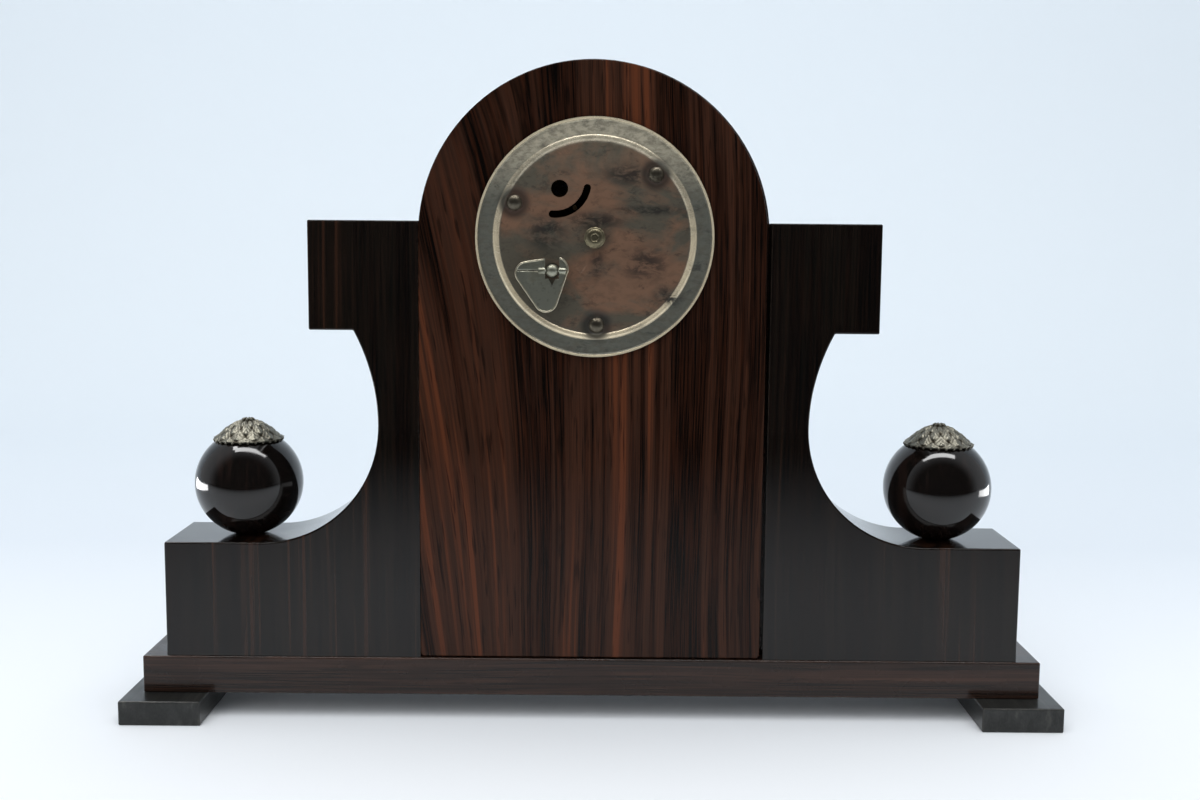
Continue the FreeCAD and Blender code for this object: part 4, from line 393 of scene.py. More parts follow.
@dataclass(frozen=True)
class CoverFinish(Finish):
    """The pressed cover: worn plating over copper-brown metal and sooty patches, with painted light: the flange
    is painted lighter towards the top, the bead's crest and the lip's edge carry a painted highlight, the
    dimple round each screw a painted shade, and the patch below the knob is the knob's painted shadow.

    Each patch is the x and z of its middle from the cover's centre, its half width and its half height,
    all in millimetres, and so are the bead's and the lip's radii.
    """

    centre: Vector
    screws: tuple[Vector, ...]
    plating: Colour = tint(198, 190, 168)
    # The flange's tone at the bottom, blended by height up to the plating: the flange is painted lighter
    # towards the top.
    aged: Colour = tint(108, 109, 100)
    # The colour of the painted highlight on the bead's crest and on the lip's edge.
    bright: Colour = tint(226, 211, 180)
    copper: Colour = tint(136, 103, 82)
    brown: Colour = tint(96, 90, 78)
    # The colour of the sooty patches, also used for the painted shade round the screws and the knob's painted
    # shadow.
    soot: Colour = tint(22, 23, 24)
    metallic: float = 0.5
    bead: float = 41.0
    lip: float = 48.3
    # The fourth patch, below the knob, is the knob's painted shadow; the others are sooty patches.
    smudges: tuple[tuple[float, float, float, float], ...] = (
        (-22, 11.5, 20, 2.6), (0, 7, 15, 4.5), (-14, 26, 13, 5.5), (-1, -11, 3.6, 8), (-21, -11, 12, 9),
        (20, 2, 10, 9), (-31, -24, 8, 6))

    def away(self, graph: Graph, place: Socket, spot: Vector) -> Socket:
        """The distance from a spot on the cover in millimetres, seen square on."""
        flat = graph.vector("DISTANCE", graph.stretch(place, y=0.0), (spot.x, 0.0, spot.z))
        return graph.times(flat, 1 / MM)

    def smudge(self, graph: Graph, place: Socket, patch: Sequence[float]) -> Socket:
        """A soft oval mask, 1 at the middle of the patch."""
        x, z, wide, high = (value * MM for value in patch)
        spot = ((self.centre.x + x) / wide, 0.0, (self.centre.z + z) / high)
        return graph.span(graph.vector("DISTANCE", graph.stretch(place, 1 / wide, 0.0, 1 / high), spot),
                          1.25, 0.25)

    def soiled(self, graph: Graph, place: Socket, streak: Socket, clouds: Socket) -> Socket:
        """How dark each place is: sooty specks, the patches, and painted shade round the screws."""
        speck = graph.span(graph.noise(streak, 190.0, 5.0, 0.75, 0.4), 0.46, 0.62)
        shade = graph.times(speck, graph.add(graph.times(clouds, 0.45), 0.22))
        patch_noise = graph.span(graph.noise(streak, 150.0, 5.0, 0.7, 0.5), 0.36, 0.60, 0.15, 1.0)
        # One of these patches, below the knob, is the knob's painted shadow.
        for patch in self.smudges:
            shade = graph.most(shade, graph.times(self.smudge(graph, place, patch), patch_noise))
        # Painted shade in the dimple round each screw; it also breaks the bead's painted highlight there.
        for spot in self.screws:
            shade = graph.most(shade, graph.span(self.away(graph, place, spot), 8.4, 4.6, 0.0, 0.9))
        return shade

    def fill(self, graph: Graph, place: Socket) -> Mapping[str, object]:
        """Lay the plating painted lighter on top, the worn middle, sooty patches, painted shade and highlights.
        """
        streak = graph.node("ShaderNodeMapping", {"Vector": place, "Rotation": (0.0, 0.35, 0.0),
                                                  "Scale": (1.0, 1.0, 1.8)}).outputs[0]
        patches = graph.group(patina(), Vector=streak, Scale=26.0, Level=0.46)
        marks = graph.group(patina(), Vector=streak, Scale=88.0, Level=0.50)
        away = self.away(graph, place, self.centre)
        rise = graph.times(graph.less(graph.parts(place)[2], self.centre.z), 1 / MM)
        worn = graph.blend(patches["Clouds"], self.brown, self.copper)
        # Painted light: the flange runs from a shaded tone low down to the lit plating at the top.
        flange = graph.blend(graph.span(rise, 12.0, 42.0), self.aged, self.plating)
        fleck = graph.span(graph.noise(streak, 320.0, 4.0, 0.7), 0.40, 0.66, 0.0, 0.5)
        flange = graph.blend(fleck, flange, self.brown)
        inside = graph.times(graph.span(away, self.bead, self.bead - 2.5), 0.92)
        shade = self.soiled(graph, place, streak, marks["Clouds"])
        base = graph.blend(graph.times(shade, 0.82), graph.blend(inside, flange, worn), self.soot)
        # Painted highlight: the bead's crest, stronger lower down, and the outer edge of the lip, where light
        # catches them.
        crest = graph.span(graph.calc("ABSOLUTE", graph.less(away, self.bead)), 1.6, 0.9)
        crest = graph.times(graph.span(rise, 34.0, -6.0, 0.25, 1.0), crest)
        highlight_rings = graph.most(crest, graph.span(away, self.lip, self.lip + 0.6))
        painted_highlight = graph.times(highlight_rings, graph.less(1.0, shade, clamp=True))
        dull = graph.add(graph.times(shade, 0.24), 0.28)
        return {"Base Color": graph.blend(painted_highlight, base, self.bright), "Metallic": self.metallic,
                "Roughness": graph.less(dull, graph.times(painted_highlight, 0.08)),
                "Normal": graph.bump(marks["Height"], 0.32, 0.10 * MM)}


@dataclass(frozen=True)
class ReliefFinish(Finish):
    """Silvered stamping: dark in the hollows and rubbed bright on the crests."""

    crest: Colour = tint(132, 129, 117)
    hollow: Colour = tint(58, 52, 42)

    def fill(self, graph: Graph, place: Socket) -> Mapping[str, object]:
        """Lay the rubbing from the piece's own relief attribute."""
        relief = graph.node("ShaderNodeAttribute", attribute_name=StampedCap.RELIEF).outputs["Fac"]
        marks = graph.group(patina(), Vector=place, Scale=240.0, Level=0.5)
        lift = graph.add(relief, graph.times(graph.less(marks["Height"], 0.5), 0.5))
        rub = graph.span(lift, 0.18, 0.70)
        return {"Base Color": graph.blend(rub, self.hollow, self.crest), "Metallic": 1.0,
                "Roughness": graph.span(rub, 0.0, 1.0, 0.62, 0.42),
                "Normal": graph.bump(marks["Height"], 0.3, 0.12 * MM)}


@dataclass(frozen=True)
class DialFinish(Finish):
    """A matt silvered dial with fine rings from its polishing."""

    centre: Vector
    silver: Colour = tint(214, 210, 200)
    aged: Colour = tint(178, 164, 138)
    metallic: float = 0.75

    def fill(self, graph: Graph, place: Socket) -> Mapping[str, object]:
        """Lay the rings and a stain that grows towards the edge."""
        away = graph.vector("DISTANCE", place, tuple(self.centre))
        marks = graph.group(patina(), Vector=place, Scale=55.0, Level=0.56)
        rings = graph.noise(graph.joined(away), 4200.0)
        edge = graph.span(away, 34 * MM, 44 * MM, 0.0, 0.5)
        stain = graph.add(graph.times(marks["Clouds"], 0.35), edge, clamp=True)
        return {"Base Color": graph.blend(stain, self.silver, self.aged), "Metallic": self.metallic,
                "Roughness": graph.span(rings, 0.3, 0.7, 0.38, 0.5),
                "Normal": graph.bump(rings, 0.08, 0.03 * MM)}


@dataclass(frozen=True)
class InkFinish(Finish):
    """Slightly raised black printing, a little uneven."""

    ink: Colour = tint(24, 22, 22)
    thin: Colour = tint(58, 54, 52)

    def fill(self, graph: Graph, place: Socket) -> Mapping[str, object]:
        """Lay the uneven ink."""
        uneven = graph.span(graph.noise(place, 900.0, 3.0), 0.45, 0.7)
        return {"Base Color": graph.blend(uneven, self.ink, self.thin),
                "Roughness": graph.span(graph.noise(place, 400.0), 0.3, 0.7, 0.4, 0.6)}


@dataclass(frozen=True)
class GlassFinish(Finish):
    """Clear glass with a trace of dust."""

    colour: Colour = (0.96, 0.98, 0.98, 1.0)
    index: float = 1.45

    def fill(self, graph: Graph, place: Socket) -> Mapping[str, object]:
        """Lay the dust on the glass."""
        return {"Base Color": self.colour, "Transmission Weight": 1.0, "IOR": self.index,
                "Roughness": graph.span(graph.noise(place, 420.0, 4.0, 0.7), 0.5, 0.8, 0.01, 0.12)}


def add_object(name: str, data: bpy.types.ID) -> bpy.types.Object:
    """Put a new object with the given data into the scene."""
    made = bpy.data.objects.new(name, data)
    bpy.context.scene.collection.objects.link(made)
    return made


def dress(material: bpy.types.Material, *nodes: str) -> None:
    """Give a material to CAD nodes.

    Args:
        material: the finish.
        nodes: names of the nodes that wear it.
    """
    for name in nodes:
        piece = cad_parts[name]
        if not piece.material_slots:
            piece.data.materials.append(material)
        for holder in piece.material_slots:
            holder.material = material
    log.info("%s on %s", material.name, ", ".join(nodes))


def add_piece(name: str, mesh: bpy.types.Mesh, material: bpy.types.Material, body: str) -> bpy.types.Object:
    """Put a finished mesh into the scene and let it ride on a body.

    Args:
        name: the piece's name.
        mesh: the mesh, already in place.
        material: its finish.
        body: the CAD body that carries it.

    Returns:
        The new object.
    """
    piece = add_object(name, mesh)
    mesh.materials.clear()
    mesh.materials.append(material)
    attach(piece, body)
    log.info("%s rides on %s with %d faces", name, body, len(mesh.polygons))
    return piece


def mesh_from(name: str, build: Callable[[bmesh.types.BMesh], None],
              smooth: bool | None = True) -> bpy.types.Mesh:
    """Build a mesh with bmesh.

    Args:
        name: the mesh's name.
        build: adds the geometry.
        smooth: whether its faces are shaded smooth; None leaves them as they come.

    Returns:
        The new mesh.
    """
    work = bmesh.new()
    build(work)
    if smooth is not None:
        for face in work.faces:
            face.smooth = smooth
    mesh = bpy.data.meshes.new(name)
    work.to_mesh(mesh)
    work.free()
    return mesh


def skin(work: bmesh.types.BMesh, rows: Sequence[Sequence[bmesh.types.BMVert]]) -> None:
    """Join rings of vertices, one after another, into a closed surface that faces outwards."""
    for lower, upper in zip(rows, rows[1:]):
        for number, (near, far) in enumerate(zip(lower, upper)):
            after = (number + 1) % len(lower)
            work.faces.new((near, lower[after], upper[after], far))
    bmesh.ops.recalc_face_normals(work, faces=work.faces)


class RingTree:
    """A Geometry Nodes tree that sets copies of its input in a ring about Z, each facing outwards."""

    def __init__(self) -> None:
        """Lay the tree's nodes."""
        self.tree = bpy.data.node_groups.new("ring_of_copies", "GeometryNodeTree")
        for label, kind in (("Geometry", "NodeSocketGeometry"), ("Count", "NodeSocketInt"), ("Radius", FLOAT),
                            ("Height", FLOAT), ("Material", "NodeSocketMaterial")):
            self.tree.interface.new_socket(label, in_out="INPUT", socket_type=kind)
        self.tree.interface.new_socket("Geometry", in_out="OUTPUT", socket_type="NodeSocketGeometry")
        graph = Graph(self.tree)
        given = graph.node("NodeGroupInput").outputs
        share = graph.calc("DIVIDE", graph.node("GeometryNodeInputIndex").outputs[0], given["Count"])
        turn = graph.times(share, TURN)
        spot = graph.joined(graph.times(graph.calc("COSINE", turn), given["Radius"]),
                            graph.times(graph.calc("SINE", turn), given["Radius"]), given["Height"])
        points = graph.node("GeometryNodePoints", {"Count": given["Count"], "Position": spot})
        copies = graph.node("GeometryNodeInstanceOnPoints", {
            "Points": points.outputs[0], "Instance": given["Geometry"], "Rotation": graph.joined(z=turn)})
        solid = graph.node("GeometryNodeRealizeInstances", {0: copies.outputs[0]})
        dressed = graph.node("GeometryNodeSetMaterial", {"Geometry": solid.outputs[0],
                                                         "Material": given["Material"]})
        graph.node("NodeGroupOutput", {0: dressed.outputs[0]})

    def spread(self, shape: bpy.types.Mesh, material: bpy.types.Material,
               **values: float) -> bpy.types.Mesh:
        """Make a ring from one shape.

        Args:
            shape: the mesh to copy, with +X outwards.
            material: the finish set by the tree.
            values: the tree's inputs by name.

        Returns:
            A plain mesh of the whole ring.
        """
        holder = add_object("ring_source", shape)
        modifier = holder.modifiers.new("ring", "NODES")
        modifier.node_group = self.tree
        sockets = {item.name: item.identifier for item in self.tree.interface.items_tree
                   if item.in_out == "INPUT"}
        for name, value in {"Material": material, **values}.items():
            modifier[sockets[name]] = value
        holder.update_tag()
        ready = holder.evaluated_get(bpy.context.evaluated_depsgraph_get())
        mesh = bpy.data.meshes.new_from_object(ready)
        holder.modifiers.remove(modifier)
        bpy.data.objects.remove(holder)
        return mesh


@dataclass
class StampedCap:
    """The silvered cap on a ball: a bell of overlapping veined leaves with a button and a beaded rim.

    The bell's outline is (radius, height over the ball's centre) in millimetres. The leaves' places are shares
    of the way from its top to its rim.
    """

    side: str
    leaves: int = 11
    rows: int = 4
    first_row: float = 0.30
    row_step: float = 0.165
    leaf_long: float = 0.27
    steps_round: int = 264
    steps_down: int = 70
    steps_inside: int = 12
    relief: float = 0.95 * MM
    skin: float = 0.5 * MM
    beads: int = 28
    bead_radius: float = 0.62 * MM
    bead_drop: float = 0.35 * MM

    RELIEF = "relief"
    OUTLINE = ((0.05, 28.35), (1.6, 28.30), (2.5, 27.95), (2.8, 27.45), (2.9, 27.05), (3.9, 26.75), (5.6, 26.0),
               (7.6, 24.9), (9.6, 23.5), (11.4, 21.95), (12.8, 20.6), (13.9, 19.8), (14.5, 19.35))

    def __post_init__(self) -> None:
        """Read the ball's place from the frame."""
        low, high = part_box("ball_" + self.side)
        self.centre = Vector(((low.x + high.x) / 2, (low.y + high.y) / 2, high.z - (high.x - low.x) / 2))

    def spot(self, share: float) -> tuple[float, float]:
        """A point of the bell's outline.

        Args:
            share: 0 at the top and 1 at the rim.

        Returns:
            The radius and the height over the ball's centre, in metres.
        """
        place = share * (len(self.OUTLINE) - 1)
        number = min(int(place), len(self.OUTLINE) - 2)
        rest = place - number
        (r_first, z_first), (r_next, z_next) = self.OUTLINE[number], self.OUTLINE[number + 1]
        return (r_first + (r_next - r_first) * rest) * MM, (z_first + (z_next - z_first) * rest) * MM

    def leaf(self, turn: float, share: float, row: int) -> float:
        """The height of one row of leaves.

        Args:
            turn: the angle round the cap in radians.
            share: 0 at the top and 1 at the rim.
            row: the row's number from the top.

        Returns:
            The height as a share of the relief, or zero between the leaves.
        """
        along = (share - (self.first_row + self.row_step * row)) / self.leaf_long
        if not 0.0 < along < 1.0:
            return 0.0
        across = (turn * self.leaves / TURN + 0.5 * (row % 2)) % 1.0 - 0.5
        half = 0.56 * math.sqrt(max(0.0, 1 - (max(along - 0.25, 0.0) / 0.75) ** 2.2))
        if abs(across) >= half:
            return 0.0
        dome = (1 - (across / half) ** 2) ** 0.6
        rib = math.exp(-(across / 0.05) ** 2)
        veins = 0.5 + 0.5 * math.sin(19 * along - 24 * abs(across))
        return dome * (0.34 + 0.40 * along + 0.20 * veins) + 0.22 * rib * dome

    def height(self, turn: float, share: float) -> float:
        """The stamping's height at a place on the bell, as a share of the relief."""
        best = max(self.leaf(turn, share, row) for row in range(self.rows))
        if share < 0.34:
            best = max(best, 0.55 * abs(math.cos(4 * turn)) * ease(share, 0.02, 0.10) * ease(share, 0.36, 0.30))
        edge = 0.6 * math.exp(-((share - 0.985) / 0.02) ** 2)
        return max(best, edge)

    def build(self, work: bmesh.types.BMesh) -> None:
        """Add the bell's outer skin, its rim and its inner skin."""
        layer = work.verts.layers.float.new(self.RELIEF)
        rows: list[list[bmesh.types.BMVert]] = []

        def ring(share: float, inside: bool) -> None:
            """One ring of vertices; the rim's scallops follow the leaves."""
            row = []
            reach, rise = self.spot(share)
            near, low = self.spot(max(share - 0.01, 0.0))
            far, high = self.spot(min(share + 0.01, 1.0))
            slope = math.hypot(far - near, high - low)
            out_r, out_z = (low - high) / slope, (far - near) / slope
            for number in range(self.steps_round):
                turn = TURN * number / self.steps_round
                level = self.height(turn, share)
                lift = -self.skin if inside else self.relief * (level - 0.35)
                scallop = 1 + 0.025 * share ** 6 * abs(math.cos(self.leaves * turn))
                radius = max((reach + out_r * lift) * scallop, 0.02 * MM)
                vert = work.verts.new(self.centre + Vector((
                    radius * math.cos(turn), radius * math.sin(turn), rise + out_z * lift)))
                vert[layer] = level
                row.append(vert)
            rows.append(row)

        for step in range(self.steps_down + 1):
            ring(step / self.steps_down, False)
        for step in range(self.steps_inside + 1):
            ring(1 - step / self.steps_inside, True)
        skin(work, rows + rows[:1])

    def bead(self, work: bmesh.types.BMesh) -> None:
        """One small bead of the ring under the rim."""
        bmesh.ops.create_icosphere(work, subdivisions=2, radius=self.bead_radius)

    def add(self, finish: bpy.types.Material, ring: RingTree) -> None:
        """Build the cap and its beads.

        Args:
            finish: the silvered material.
            ring: the tree that sets the beads.
        """
        name = "stamped_cap_" + self.side
        cap = add_piece(name, mesh_from(name, self.build), finish, "case")
        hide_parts("ball_cap_" + self.side)
        reach, rise = self.spot(1.0)
        beads = ring.spread(mesh_from("bead", self.bead), finish, Count=self.beads, Radius=reach,
                            Height=rise - self.bead_drop)
        beads.transform(Matrix.Translation(self.centre))
        relief = beads.attributes.new(self.RELIEF, "FLOAT", "POINT")
        for value in relief.data:
            value.value = 0.5
        add_piece("cap_beads_" + self.side, beads, finish, "case")


@dataclass(frozen=True)
class RoundHole:
    """A round hole in the cover, measured from the cover's centre."""

    x: float
    z: float
    radius: float

    def nearest(self, x: float, z: float) -> tuple[float, float, float]:
        """How far a point lies outside the hole, and the nearest point on its edge."""
        across, rise = x - self.x, z - self.z
        away = max(math.hypot(across, rise), 1e-9)
        share = self.radius / away
        return away - self.radius, self.x + across * share, self.z + rise * share


@dataclass(frozen=True)
class ArcSlot:
    """A curved slot with round ends about a spot, its angles in degrees from +X towards +Z."""

    x: float
    z: float
    radius: float
    half_width: float
    start: float
    end: float

    def nearest(self, x: float, z: float) -> tuple[float, float, float]:
        """How far a point lies outside the slot, and the nearest point on its edge."""
        turn = math.degrees(math.atan2(z - self.z, x - self.x)) % 360
        middle = math.radians(min(max(turn, self.start), self.end))
        if not self.start <= turn <= self.end and abs(turn - self.start) > abs(turn - self.end):
            middle = math.radians(self.end)
        spot = RoundHole(self.x + self.radius * math.cos(middle), self.z + self.radius * math.sin(middle),
                         self.half_width)
        return spot.nearest(x, z)


@dataclass
class PressedCover:
    """The rear cover as one pressed sheet: rolled bead, lipped flange, dimples, arrow and real holes.

    All sizes are in millimetres. The peep hole is its x, z and radius; the slot about the balance is its
    radius, its half width and its two angles in degrees.
    """

    screws: tuple[Vector, ...]
    bead_spot: float = 41.0
    bead_radius: float = 1.6
    bead_sink: float = 0.9
    knob_hole: float = 2.2
    lip: float = 1.0
    sheet: float = 0.5
    dimple: float = 0.32
    wave: float = 0.05
    arrow_rise: float = 0.22
    arrow_radius: float = 11.8
    steps_round: int = 300
    peep: tuple[float, float, float] = (14.7, 20.1, 3.55)
    slot: tuple[float, float, float, float] = (13.5, 1.5, 191.0, 275.0)
    boss_hole: float = 3.0

    def __post_init__(self) -> None:
        """Read the cover's place and the spots of the holes from the frame."""
        low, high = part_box("rear_cover")
        self.centre = Vector(((low.x + high.x) / 2, high.y - self.lip * MM, (low.z + high.z) / 2))
        self.radius = (high.x - low.x) / 2 / MM
        self.boss = self.flat(middle("winding_arbor"))
        self.screw_spots = [self.flat(spot) for spot in self.screws]
        self.holes = (RoundHole(*self.boss, self.boss_hole), RoundHole(*self.peep),
                      ArcSlot(*self.flat(middle("balance_wheel")), *self.slot))

    def flat(self, spot: Vector) -> tuple[float, float]:
        """A spot's place across and up from the cover's centre, in millimetres."""
        return (spot.x - self.centre.x) / MM, (spot.z - self.centre.z) / MM

    def arrow(self, x: float, z: float) -> float:
        """The pressed arrow beside the key that shows which way it winds."""
        across, rise = self.boss[0] - x, z - self.boss[1]
        away, turn = math.hypot(across, rise), math.atan2(rise, across)
        shaft = ease(abs(away - self.arrow_radius), 1.3, 0.8) * ease(turn, 0.12, 0.18) * ease(turn, 1.25, 1.18)
        spread = 2.6 * (turn + 0.10) / 0.26
        head = ease(abs(away - self.arrow_radius), spread, spread - 0.5) * ease(turn, 0.20, 0.16) \
            * ease(turn, -0.10, -0.06)
        return max(shaft, head)

    def height(self, x: float, z: float) -> float:
        """How far the sheet stands out from the cover's face, in millimetres."""
        away = math.hypot(x, z)
        near = min(math.hypot(x - spot_x, z - spot_z) for spot_x, spot_z in self.screw_spots)
        bead = math.sqrt(max(self.bead_radius ** 2 - (away - self.bead_spot) ** 2, 0.0)) - self.bead_sink
        total = max(bead, 0.0) * ease(near, 4.2, 6.4)
        total -= self.dimple * ease(near, 3.3, 4.1) * ease(near, 6.4, 4.6)
        total += self.lip * ease(away, self.radius - 1.5, self.radius - 0.7)
        total += self.arrow_rise * self.arrow(x, z)
        total += self.wave * math.sin(0.31 * x + 1.0) * math.sin(0.27 * z + 2.0)
        return total

    def rings(self) -> list[float]:
        """Radii of the rings, closer together at the bead and the lip."""
        steps = ((self.knob_hole, 39.4, 74), (39.4, 42.6, 20), (42.6, self.radius - 1.7, 9),
                 (self.radius - 1.7, self.radius, 10))
        radii = [self.knob_hole]
        for low, high, count in steps:
            radii.extend(low + (high - low) * number / count for number in range(1, count + 1))
        return radii

    def build(self, work: bmesh.types.BMesh) -> None:
        """Add the sheet: a ring grid with its holes cut out and their edges drawn onto the outlines."""
        radii, count = self.rings(), self.steps_round
        turns = [TURN * number / count for number in range(count)]
        spots = [[(radius * math.cos(turn), radius * math.sin(turn)) for turn in turns] for radius in radii]
        kept, border = [], {}
        for row in range(len(radii) - 1):
            for number in range(count):
                corners = ((row, number), (row, (number + 1) % count), (row + 1, (number + 1) % count),
                           (row + 1, number))
                x = sum(spots[i][j][0] for i, j in corners) / 4
                z = sum(spots[i][j][1] for i, j in corners) / 4
                hole = min(self.holes, key=lambda item: item.nearest(x, z)[0])
                if hole.nearest(x, z)[0] > 0:
                    kept.append(corners)
                else:
                    border.update({corner: hole for corner in corners})
        verts: dict[tuple[int, int, int], bmesh.types.BMVert] = {}

        def vert(corner: tuple[int, int], layer: int) -> bmesh.types.BMVert:
            """The vertex of a grid corner on the outer (0) or inner (1) skin."""
            key = (*corner, layer)
            if key not in verts:
                x, z = spots[corner[0]][corner[1]]
                if corner in border:
                    _, x, z = border[corner].nearest(x, z)
                depth = self.height(x, z) - layer * self.sheet
                verts[key] = work.verts.new(self.centre + Vector((x, depth, z)) * MM)
            return verts[key]

        edges: dict[frozenset, tuple] = {}
        for corners in kept:
            work.faces.new([vert(corner, 0) for corner in corners])
            work.faces.new([vert(corner, 1) for corner in reversed(corners)])
            for first, second in zip(corners, corners[1:] + corners[:1]):
                side = frozenset((first, second))
                edges[side] = None if side in edges else (first, second)
        for side in edges.values():
            if side:
                first, second = side
                wall = work.faces.new([vert(second, 0), vert(first, 0), vert(first, 1), vert(second, 1)])
                for edge in wall.edges:
                    edge.smooth = False
        bmesh.ops.recalc_face_normals(work, faces=work.faces)

    def add(self, finish: bpy.types.Material) -> None:
        """Build the cover in place of the plain one."""
        mesh = mesh_from("pressed_cover", self.build)
        cover = add_piece("pressed_cover", mesh, finish, "case")
        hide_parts("rear_cover")


@dataclass
class KnurledKnob:
    """The round knob that sets the hands: a milled edge, a stepped face and its bore, in millimetres."""

    teeth: int = 44
    depth: float = 0.16
    steps_per_tooth: int = 6

    def __post_init__(self) -> None:
        """Read the knob's place, size and bore from the frame."""
        low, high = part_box("hand_set_knob")
        self.centre = Vector(((low.x + high.x) / 2, low.y, (low.z + high.z) / 2))
        self.radius, self.length = (high.x - low.x) / 2 / MM, (high.y - low.y) / MM
        self.bore = max(min(math.hypot(vert.co.x - self.centre.x, vert.co.z - self.centre.z)
                            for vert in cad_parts["hand_set_knob"].data.vertices) / MM, 0.02)

    def profile(self) -> list[tuple[float, float, bool]]:
        """Radius, height and whether the milling cuts there, from the bore's foot round to its mouth."""
        full, top = self.radius, self.length
        return [(self.bore, 0.0, False), (full - 1.0, 0.0, False), (full - 0.3, 0.15, False),
                (full, 0.6, True), (full, top - 1.3, True), (full - 0.2, top - 0.95, True),
                (full - 0.55, top - 0.75, False), (full - 0.85, top - 0.75, False),
                (full - 1.05, top - 0.5, False), (full - 1.6, top - 0.2, False), (full - 2.5, top, False),
                (self.bore, top, False)]

    def build(self, work: bmesh.types.BMesh) -> None:
        """Add the turned knob."""
        count = self.teeth * self.steps_per_tooth
        rows = []
        for radius, height, milled in self.profile():
            row = []
            for number in range(count):
                turn = TURN * number / count
                cut = self.depth * (0.5 - 0.5 * math.cos(self.teeth * turn)) if milled else 0.0
                row.append(work.verts.new(self.centre + Vector((
                    (radius - cut) * math.cos(turn), height, (radius - cut) * math.sin(turn))) * MM))
            rows.append(row)
        skin(work, rows + rows[:1])

    def add(self, finish: bpy.types.Material) -> None:
        """Build the knob in place of the plain one."""
        mesh = mesh_from("milled_knob", self.build)
        knob = add_piece("milled_knob", mesh, finish, "hand_setting")
        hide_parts("hand_set_knob")


@dataclass
class KeyRim:
    """The rolled rim of the folding key's leaf, open where the arbor's tongue swings through.

    The corners are the centres of the leaf's three round corners, across and up from the hinge. All sizes
    are in millimetres.
    """

    corners: tuple[tuple[float, float], ...] = ((10.4, -1.0), (-1.9, 0.9), (2.5, -12.3))
    round: float = 4.5
    tube: float = 0.42
    gap: float = 3.2
    rise: float = 0.35
    steps: int = 12
    line_steps: int = 8
    sides: int = 10

    def path(self) -> list[tuple[float, float]]:
        """The leaf's outline about the hinge, starting at one side of the gap, in millimetres."""
        points: list[tuple[float, float]] = []
        for number, (x, z) in enumerate(self.corners):
            before, after = self.corners[number - 1], self.corners[(number + 1) % len(self.corners)]
            start = math.atan2(z - before[1], x - before[0]) + math.pi / 2
            end = math.atan2(after[1] - z, after[0] - x) + math.pi / 2
            sweep = (end - start) % TURN
            for step in range(self.steps + 1):
                turn = start + sweep * step / self.steps - math.pi
                points.append((x + self.round * math.cos(turn), z + self.round * math.sin(turn)))
        return points

    def loop(self) -> list[Vector]:
        """The outline as close points in the leaf's outer face, without the part across the gap."""
        hinge = middle("key_pin")
        points = self.path()
        fine: list[tuple[float, float]] = []
        for first, second in zip(points, points[1:] + points[:1]):
            fine.extend((first[0] + (second[0] - first[0]) * step / self.line_steps,
                         first[1] + (second[1] - first[1]) * step / self.line_steps)
                        for step in range(self.line_steps))
        kept = [not (abs(x) < self.gap and z > 0) for x, z in fine]
        first = next(number for number in range(len(fine)) if kept[number] and not kept[number - 1])
        turned = [fine[(first + number) % len(fine)] for number in range(len(fine))
                  if kept[(first + number) % len(fine)]]
        return [hinge + Vector((x, self.rise, z)) * MM for x, z in turned]

    def build(self, work: bmesh.types.BMesh) -> None:
        """Add a tube along the outline with closed ends."""
        line, out = self.loop(), Vector((0.0, 1.0, 0.0))
        turns = [TURN * part / self.sides for part in range(self.sides)]
        rows = []
        for number, point in enumerate(line):
            ahead = (line[min(number + 1, len(line) - 1)] - line[max(number - 1, 0)]).normalized()
            side = ahead.cross(out)
            rows.append([work.verts.new(point + (side * math.cos(turn) + out * math.sin(turn)) * self.tube * MM)
                         for turn in turns])
        work.faces.new(rows[0])
        work.faces.new(rows[-1])
        skin(work, rows)

    def add(self, finish: bpy.types.Material) -> None:
        """Put the rim onto the leaf."""
        add_piece("key_rim", mesh_from("key_rim", self.build), finish, "folding_key")


@dataclass
class RearSide:
    """What scene pieces the back of the drum has: the cover, the key's rim and the knob."""

    screw_gap: float = 20 * MM

    def screw_spots(self) -> tuple[Vector, ...]:
        """The middles of the three cover screws, told apart by the gaps between their vertices."""
        points = [vert.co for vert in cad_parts["rear_cover_screws"].data.vertices]
        spots: list[Vector] = []
        for point in points:
            if all((point - spot).length > self.screw_gap for spot in spots):
                near = [other for other in points if (other - point).length < self.screw_gap]
                spots.append(sum(near, Vector()) / len(near))
        return tuple(spots)

    def add(self) -> None:
        """Build and dress them."""
        screws = self.screw_spots()
        PressedCover(screws).add(CoverFinish("aged_plating_and_painted_light", middle("rear_cover"), screws).material())
        # The rim's steel is lighter than the key's: a painted highlight on the edge that catches the light.
        KeyRim().add(MetalFinish("rim_steel_painted_highlight", tint(222, 214, 190), tint(150, 142, 122), level=0.6).material())
        brass = MetalFinish("knob_brass", tint(138, 130, 106), tint(98, 92, 76), roughness=0.42, scale=160.0)
        brass = brass.material()
        dress(brass, "centre_arbor")
        KnurledKnob().add(brass)


